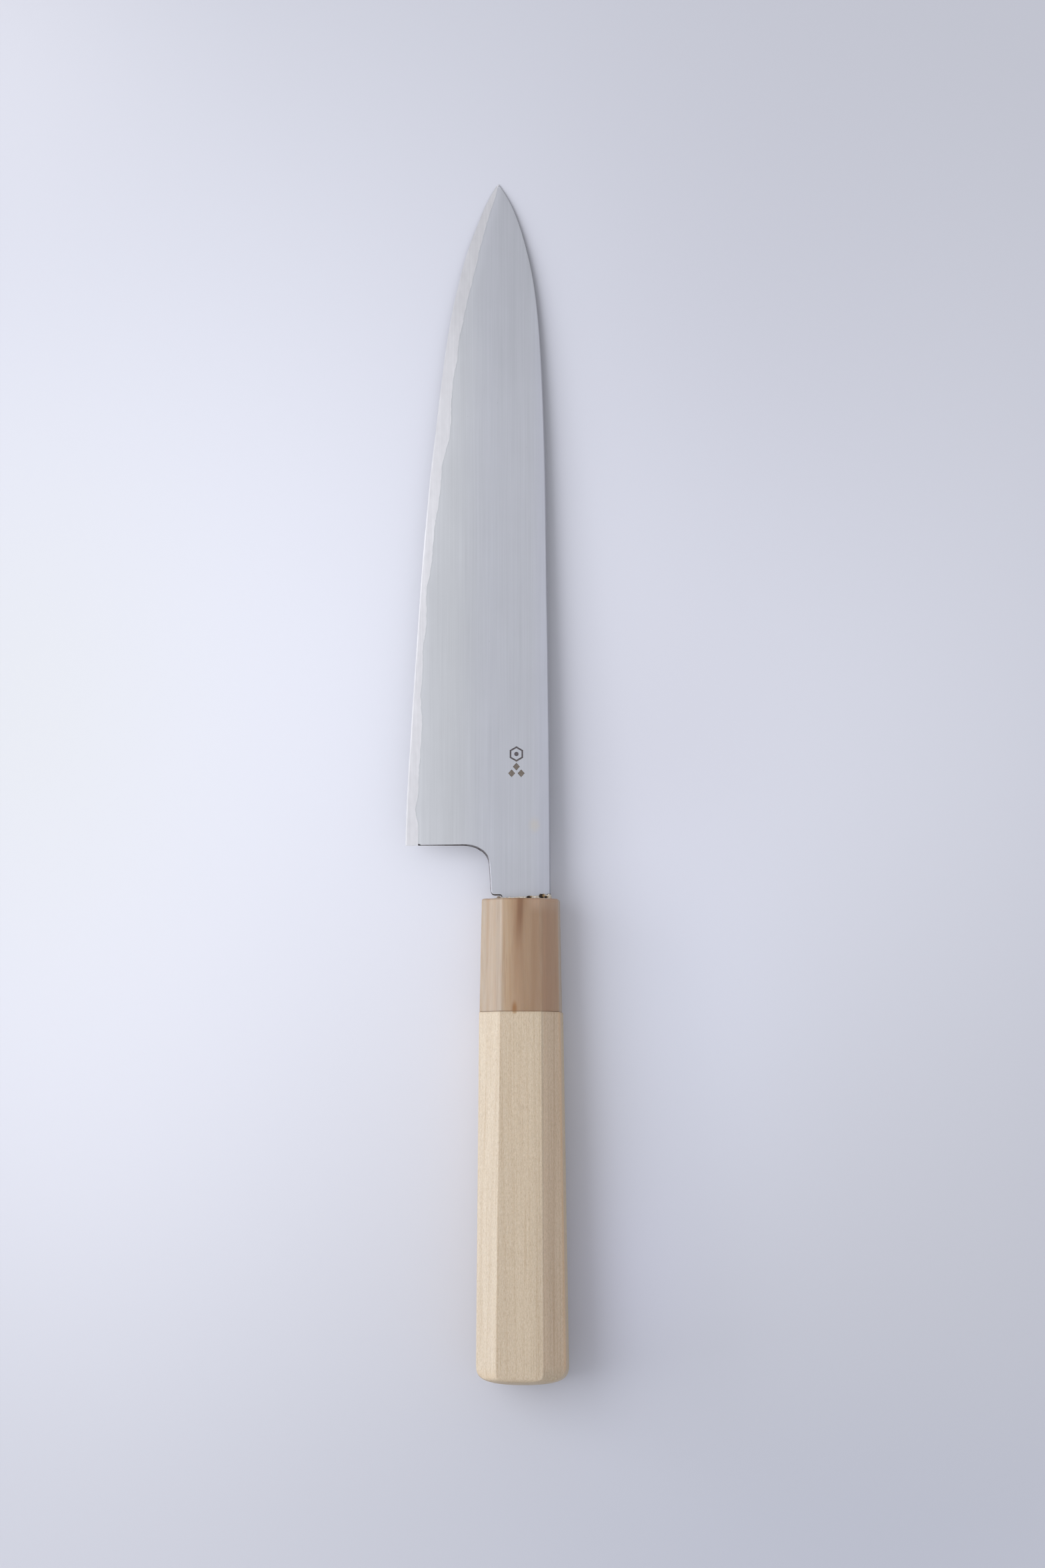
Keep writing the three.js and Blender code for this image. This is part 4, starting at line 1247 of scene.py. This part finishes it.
def mouth_bead(material):
    """The crumbly bead of adhesive where the tang enters the ferrule."""
    depsgraph = bpy.context.evaluated_depsgraph_get
    verts, faces = [], []

    def lump(cx, cy, cz, rx, ry, rz, seed):
        """A rough closed blob."""
        nu, nv = 14, 8
        base = len(verts)
        verts.append((cx, cy, cz - rz))
        for j in range(1, nv):
            phi = math.pi * j / nv - math.pi / 2
            for i in range(nu):
                a = 2 * math.pi * i / nu
                d = (math.cos(a) * math.cos(phi), math.sin(a) * math.cos(phi), math.sin(phi))
                k = 1 + 0.28 * noise.noise(Vector((d[0] * 1.6 + seed, d[1] * 1.6, d[2] * 1.6)))
                verts.append((cx + rx * d[0] * k, cy + ry * d[1] * k, cz + rz * d[2] * k))
        verts.append((cx, cy, cz + rz))
        top = len(verts) - 1
        for i in range(nu):
            faces.append((base, base + 1 + (i + 1) % nu, base + 1 + i))
        for j in range(nv - 2):
            for i in range(nu):
                a = base + 1 + j * nu + i
                b = base + 1 + j * nu + (i + 1) % nu
                faces.append((a, b, b + nu, a + nu))
        last = base + 1 + (nv - 2) * nu
        for i in range(nu):
            faces.append((last + i, last + (i + 1) % nu, top))

    rng = np.random.default_rng(7)
    for face_sign in (1, -1):
        for x in np.arange(-6.35, 8.0, 0.34):
            # the bead climbs from left to right on the upper face
            t = (x + 6.4) / 14.4
            h = 0.30 + 0.85 * t**1.6 + 0.22 * rng.random()
            if 5.0 < x < 6.6 and face_sign > 0:
                h += 0.25
            depth = 0.75 + 0.25 * rng.random()
            lump(x + 0.1 * rng.random(), 0.02 + 0.16 * h, face_sign * (1.5 + 0.28 * depth), 0.38, h * 0.95, 0.34 * depth + 0.12, x * 3 + face_sign)
    for z in np.arange(-1.5, 1.6, 0.4):
        lump(-6.25, 0.25, z, 0.55, 0.55, 0.4, z)
        lump(8.0, 0.38, z, 0.5, 0.75, 0.4, z + 9)
        lump(-5.8, 0.3, z, 0.5, 0.5, 0.4, z + 3)
    for _ in range(26):
        x = rng.uniform(-6.0, 8.1)
        side = 1 if rng.random() < 0.6 else -1
        r = rng.uniform(0.10, 0.22)
        lump(x, rng.uniform(0.1, 0.35), side * rng.uniform(2.05, 2.3), r, r, r, x * 5)
    # charred crumbs
    lump(2.2, 0.55, 1.85, 0.62, 0.42, 0.45, 2)
    lump(5.55, 0.85, 1.9, 0.62, 0.55, 0.5, 4)
    lump(6.5, 0.55, 1.85, 0.45, 0.38, 0.45, 6)
    mesh = bpy.data.meshes.new("bead_rough")
    mesh.from_pydata(verts, [], faces)
    o = bpy.data.objects.new("bead_rough", mesh)
    bpy.context.scene.collection.objects.link(o)
    remesh = o.modifiers.new("remesh", "REMESH")
    remesh.mode, remesh.voxel_size, remesh.adaptivity = "VOXEL", 0.11, 0.0

    def cutter(name, poly, z0, z1, y_flip=False):
        n = len(poly)
        cv = [(p[0], p[1], z0) for p in poly] + [(p[0], p[1], z1) for p in poly]
        cf = [tuple(range(n))[::-1], tuple(range(n, 2 * n))] + [(i, (i + 1) % n, n + (i + 1) % n, n + i) for i in range(n)]
        cm = bpy.data.meshes.new(name)
        cm.from_pydata(cv, [], cf)
        co = bpy.data.objects.new(name, cm)
        bpy.context.scene.collection.objects.link(co)
        return co

    room = cutter(
        "steel_room",
        [(-5.44, -3), (7.16, -3), (7.16, 0.62), (7.45, 1.09), (8.6, 1.09), (8.6, 5), (-9.2, 5), (-8.5, 2.2), (-8.2, 1.3), (-7.2, 0.99), (-5.9, 0.99), (-5.44, 0.5)],
        -1.49,
        1.49,
    )
    below = cutter("below", [(-12, -6), (12, -6), (12, 0.03), (-12, 0.03)], -6, 6)
    for c in (room, below):
        b = o.modifiers.new(c.name, "BOOLEAN")
        b.operation, b.solver, b.object = "DIFFERENCE", "EXACT", c
    made = bpy.data.meshes.new_from_object(o.evaluated_get(depsgraph()))
    co = np.zeros(len(made.vertices) * 3, np.float32)
    made.vertices.foreach_get("co", co)
    co = co.reshape(-1, 3)
    polys = [tuple(p.vertices) for p in made.polygons]
    # keep the one large body
    parent = list(range(len(co)))

    def root(i):
        while parent[i] != i:
            parent[i] = parent[parent[i]]
            i = parent[i]
        return i

    for f in polys:
        for i in f[1:]:
            parent[root(i)] = root(f[0])
    roots = [root(f[0]) for f in polys]
    names, counts = np.unique(roots, return_counts=True)
    best = names[counts.argmax()]
    polys = [f for f, r in zip(polys, roots) if r == best]
    used = sorted({i for f in polys for i in f})
    renumber = {k: i for i, k in enumerate(used)}
    piece = make_object("mouth_bead", co[used], [tuple(renumber[i] for i in f) for f in polys], None, None, None, [material])
    for x in (o, room, below):
        data = x.data
        bpy.data.objects.remove(x, do_unlink=True)
        bpy.data.meshes.remove(data)
    bpy.data.meshes.remove(made)
    return piece


CORE_STEEL = steel("core_steel_satin", (0.715, 0.70, 0.672), 0.32, 1, core=True)
LEFT_STEEL = steel("cladding_steel_upper", (0.492, 0.495, 0.496), 0.38, 1)
RIGHT_STEEL = steel("cladding_steel_lower", (0.492, 0.495, 0.496), 0.38, -1)
PIT = pit_steel("mark_floor")
HORN, WOOD, BEAD, RESIN = horn(), wood(), bead_material(), resin_material()

pieces = {
    "blade_core_steel": (core(CORE_STEEL), "core_steel"),
    "blade_cladding_left": (cladding(1, LEFT_STEEL, PIT), "cladding_steel"),
    "blade_cladding_right": (cladding(-1, RIGHT_STEEL), "cladding_steel"),
    "horn_ferrule": (ferrule(HORN), "horn"),
    "handle_body": (handle(WOOD), "handle_wood"),
    "mouth_seal": (mouth_bead(BEAD), "seal_bead"),
}
for node, (piece, slot) in pieces.items():
    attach(piece, "root")
    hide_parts(node)
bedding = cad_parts["tang_bedding"]
bedding.data.materials.clear()
bedding.data.materials.append(RESIN)

# ---- studio -------------------------------------------------------------------------------------------------
TINT = (1.0, 1.025, 1.15)


def bowl():
    """A level floor that curves up into a low wall far from the knife."""
    profile = [(r, 0.0) for r in (0.25, 0.6, 1.0, 1.6, 2.6, 4.2, 6.2, 7.6)]
    for a in range(0, 91, 9):
        profile.append((8.1 + 0.6 * math.sin(math.radians(a)), 0.6 - 0.6 * math.cos(math.radians(a))))
    profile.append((8.7, 0.8))
    verts, faces, n = [(0, 0, 0)], [], 72
    for r, z in profile:
        verts += [(r * math.cos(2 * math.pi * i / n), r * math.sin(2 * math.pi * i / n), z) for i in range(n)]
    for i in range(n):
        faces.append((0, 1 + i, 1 + (i + 1) % n))
    for k in range(len(profile) - 1):
        for i in range(n):
            a, b = 1 + k * n + i, 1 + k * n + (i + 1) % n
            faces.append((a, a + n, b + n, b))
    mesh = bpy.data.meshes.new("studio_floor")
    mesh.from_pydata(verts, [], faces)
    mesh.polygons.foreach_set("use_smooth", np.ones(len(faces), bool))
    o = bpy.data.objects.new("studio_floor", mesh)
    bpy.context.scene.collection.objects.link(o)
    m = bpy.data.materials.new("pale_floor")
    m.use_nodes = True
    b = m.node_tree.nodes["Principled BSDF"]
    b.inputs["Base Color"].default_value = (0.80, 0.80, 0.81, 1)
    b.inputs["Roughness"].default_value = 1.0
    b.inputs["Specular IOR Level"].default_value = 0.0
    # within the camera's frame the floor's tone falls off from a bright centre to the knife's left, a painted pool of
    # light;
    # outside it, the tone and a faint glow of its own, both painted light, even out what the two lamps and the room
    # leave brighter or darker, so that it stays pale in every view
    t = m.node_tree

    def node(kind, **inputs):
        n = t.nodes.new("ShaderNode" + kind)
        for key, value in inputs.items():
            if key in ("operation", "data_type", "interpolation_type", "vector_type"):
                setattr(n, key, value)
        return n

    def link(a, b):
        t.links.new(a, b) if isinstance(a, bpy.types.NodeSocket) else setattr(b, "default_value", a)

    def calc(op, a, b=0.0):
        n = node("Math", operation=op)
        link(a, n.inputs[0])
        link(b, n.inputs[1])
        return n.outputs[0]

    def smooth(value, lo, hi, to_lo=0.0, to_hi=1.0):
        n = node("MapRange", interpolation_type="SMOOTHSTEP")
        link(value, n.inputs["Value"])
        for key, v in (("From Min", lo), ("From Max", hi), ("To Min", to_lo), ("To Max", to_hi)):
            n.inputs[key].default_value = v
        return n.outputs[0]

    def blend(fac, a, c):
        n = node("Mix", data_type="FLOAT")
        link(fac, n.inputs[0])
        link(a, n.inputs[2])
        link(c, n.inputs[3])
        return n.outputs[0]

    geometry = t.nodes.new("ShaderNodeNewGeometry")
    sep = t.nodes.new("ShaderNodeSeparateXYZ")
    t.links.new(geometry.outputs["Position"], sep.inputs[0])
    fx, fy = sep.outputs[0], sep.outputs[1]
    length = node("VectorMath", operation="LENGTH")
    t.links.new(geometry.outputs["Position"], length.inputs[0])
    squeeze = node("Mapping", vector_type="TEXTURE")
    squeeze.inputs["Location"].default_value = (-0.05, 0.04, 0.0)
    squeeze.inputs["Scale"].default_value = (1.5, 1.0, 1.0)
    t.links.new(geometry.outputs["Position"], squeeze.inputs["Vector"])
    away = node("VectorMath", operation="LENGTH")
    t.links.new(squeeze.outputs[0], away.inputs[0])
    # painted pool of light: the floor's colour falls off away from a bright centre left of the knife
    painted_light_pool = smooth(away.outputs["Value"], 0.0, 0.25, 0.80, 0.592)
    # what the lamps give the floor, along X under them and fading along Y
    lit = t.nodes.new("ShaderNodeValToRGB")
    lit.color_ramp.interpolation = "LINEAR"
    steps = [
        (-1.7, 0.0), (-1.45, 0.02), (-1.3, 0.08), (-1.2, 0.17), (-1.15, 0.245), (-1.1, 0.34), (-1.05, 0.95), (-1.0, 1.35),
        (-0.9, 1.55), (-0.8, 1.43), (-0.7, 1.26), (-0.5, 0.93), (-0.3, 0.67), (-0.135, 0.51), (0.0, 0.40), (0.15, 0.31),
        (0.3, 0.23), (0.5, 0.17), (0.8, 0.10), (1.2, 0.06), (2.3, 0.01),
    ]
    stops = lit.color_ramp.elements
    while len(stops) < len(steps):
        stops.new(0.5)
    for stop, (x, v) in zip(stops, steps):
        stop.position = (x + 1.7) / 4.0
    for stop, (x, v) in zip(stops, steps):
        stop.color = (v / 2, v / 2, v / 2, 1)
    link(calc("MULTIPLY", calc("ADD", fx, 1.7), 0.25), lit.inputs[0])
    spread = calc("MAXIMUM", calc("MINIMUM", calc("ADD", calc("MULTIPLY", fx, 0.4), 0.97), 1.05), 0.5)
    ratio = calc("DIVIDE", fy, spread)
    fade = calc("EXPONENT", calc("MULTIPLY", calc("MULTIPLY", ratio, ratio), -1.0))
    received = calc("ADD", calc("MULTIPLY", calc("MULTIPLY", lit.outputs[0], 2.0), fade), 0.66)
    level = 0.73
    outer = calc("MINIMUM", calc("DIVIDE", level, received), 0.592)
    glow = calc("MAXIMUM", calc("SUBTRACT", level, calc("MULTIPLY", outer, received)), 0.0)
    outside = smooth(length.outputs["Value"], 0.235, 0.50)
    shade = blend(outside, painted_light_pool, outer)
    # painted light and shade: broad, soft brighter and darker patches in the table's tone around the knife, some
    # lifting and bluing the shadow beside the handle
    painted_light_patches = (
        ((-0.115, -0.115), (0.085, 0.10), (0.116, 0.112, 0.105)),
        ((0.045, -0.075), (0.040, 0.075), (0.060, 0.068, 0.092)),
        ((0.06, 0.12), (0.085, 0.10), (-0.099, -0.101, -0.093)),
        ((-0.15, 0.215), (0.06, 0.05), (0.115, 0.107, 0.095)),
        ((0.11, -0.215), (0.12, 0.05), (-0.075, -0.062, -0.035)),
        ((-0.13, 0.02), (0.05, 0.07), (-0.028, -0.026, -0.072)),
        ((0.034, -0.137), (0.022, 0.030), (0.060, 0.060, 0.100)),
        ((0.045, 0.005), (0.035, 0.045), (-0.055, -0.062, -0.062)),
    )
    gains = [1.0, 1.0, 1.0]
    for (px, py), (wide, high), amounts in painted_light_patches:
        spot = node("Mapping", vector_type="TEXTURE")
        spot.inputs["Location"].default_value = (px, py, 0.0)
        spot.inputs["Scale"].default_value = (wide, high, 1.0)
        t.links.new(geometry.outputs["Position"], spot.inputs["Vector"])
        far = node("VectorMath", operation="LENGTH")
        t.links.new(spot.outputs[0], far.inputs[0])
        near = calc("EXPONENT", calc("MULTIPLY", calc("MULTIPLY", far.outputs["Value"], far.outputs["Value"]), -1.0))
        gains = [calc("ADD", calc("MULTIPLY", near, amount), gain) for gain, amount in zip(gains, amounts)]
    colour = t.nodes.new("ShaderNodeCombineColor")
    for socket, gain, k in zip(colour.inputs, gains, (1.0, 1.0, 1.0135)):
        link(calc("MULTIPLY", calc("MULTIPLY", shade, k), gain), socket)
    t.links.new(colour.outputs[0], b.inputs["Base Color"])
    b.inputs["Emission Color"].default_value = (*TINT, 1)
    link(calc("MULTIPLY", glow, outside), b.inputs["Emission Strength"])
    mesh.materials.append(m)
    return o


bowl()

scene = bpy.context.scene
world = bpy.data.worlds.new("soft_room")
world.use_nodes = True
scene.world = world
wt = world.node_tree
background = wt.nodes["Background"]
coords = wt.nodes.new("ShaderNodeTexCoord")
sep = wt.nodes.new("ShaderNodeSeparateXYZ")
wt.links.new(coords.outputs["Generated"], sep.inputs[0])
ramp = wt.nodes.new("ShaderNodeMapRange")
ramp.interpolation_type = "SMOOTHSTEP"
ramp.inputs["From Min"].default_value = -0.42
ramp.inputs["From Max"].default_value = 0.30
ramp.inputs["To Min"].default_value = 0.78
ramp.inputs["To Max"].default_value = 0.53
wt.links.new(sep.outputs[0], ramp.inputs["Value"])
background.inputs["Color"].default_value = (*TINT, 1)
wt.links.new(ramp.outputs[0], background.inputs["Strength"])


def area_light(name, location, target, width, height, power, colour=TINT):
    data = bpy.data.lights.new(name, "AREA")
    data.shape, data.size, data.size_y = "RECTANGLE", width, height
    data.energy = power
    data.color = tuple(c / max(colour) for c in colour)
    o = bpy.data.objects.new(name, data)
    o.location = location
    direction = Vector(target) - Vector(location)
    o.rotation_mode = "QUATERNION"
    o.rotation_quaternion = direction.to_track_quat("-Z", "Y")
    o.visible_camera = False
    scene.collection.objects.link(o)
    return o


area_light("window", (-0.71, 0.04, 0.72), (0, 0, 0), 0.95, 0.95, 6.1)
area_light("low_window", (-1.0, 0.02, 0.30), (0, 0, 0.01), 0.8, 0.45, 2.8)

# ---- camera: straight above, the frame of the photograph ------------------------------------------------------
camera_data = bpy.data.cameras.new("camera")
camera_data.sensor_width = 36.0
camera_data.lens = 496.3
camera_data.clip_start, camera_data.clip_end = 0.1, 80.0
camera = bpy.data.objects.new("camera", camera_data)
camera.location = (0.00975, 0.00019, 6.0)
camera.rotation_euler = (0, 0, 0)
scene.collection.objects.link(camera)
scene.camera = camera
scene.view_settings.view_transform = "Standard"
scene.view_settings.look = "None"
scene.view_settings.exposure = 0.0
scene.view_settings.gamma = 1.0

bpy.context.view_layer.update()
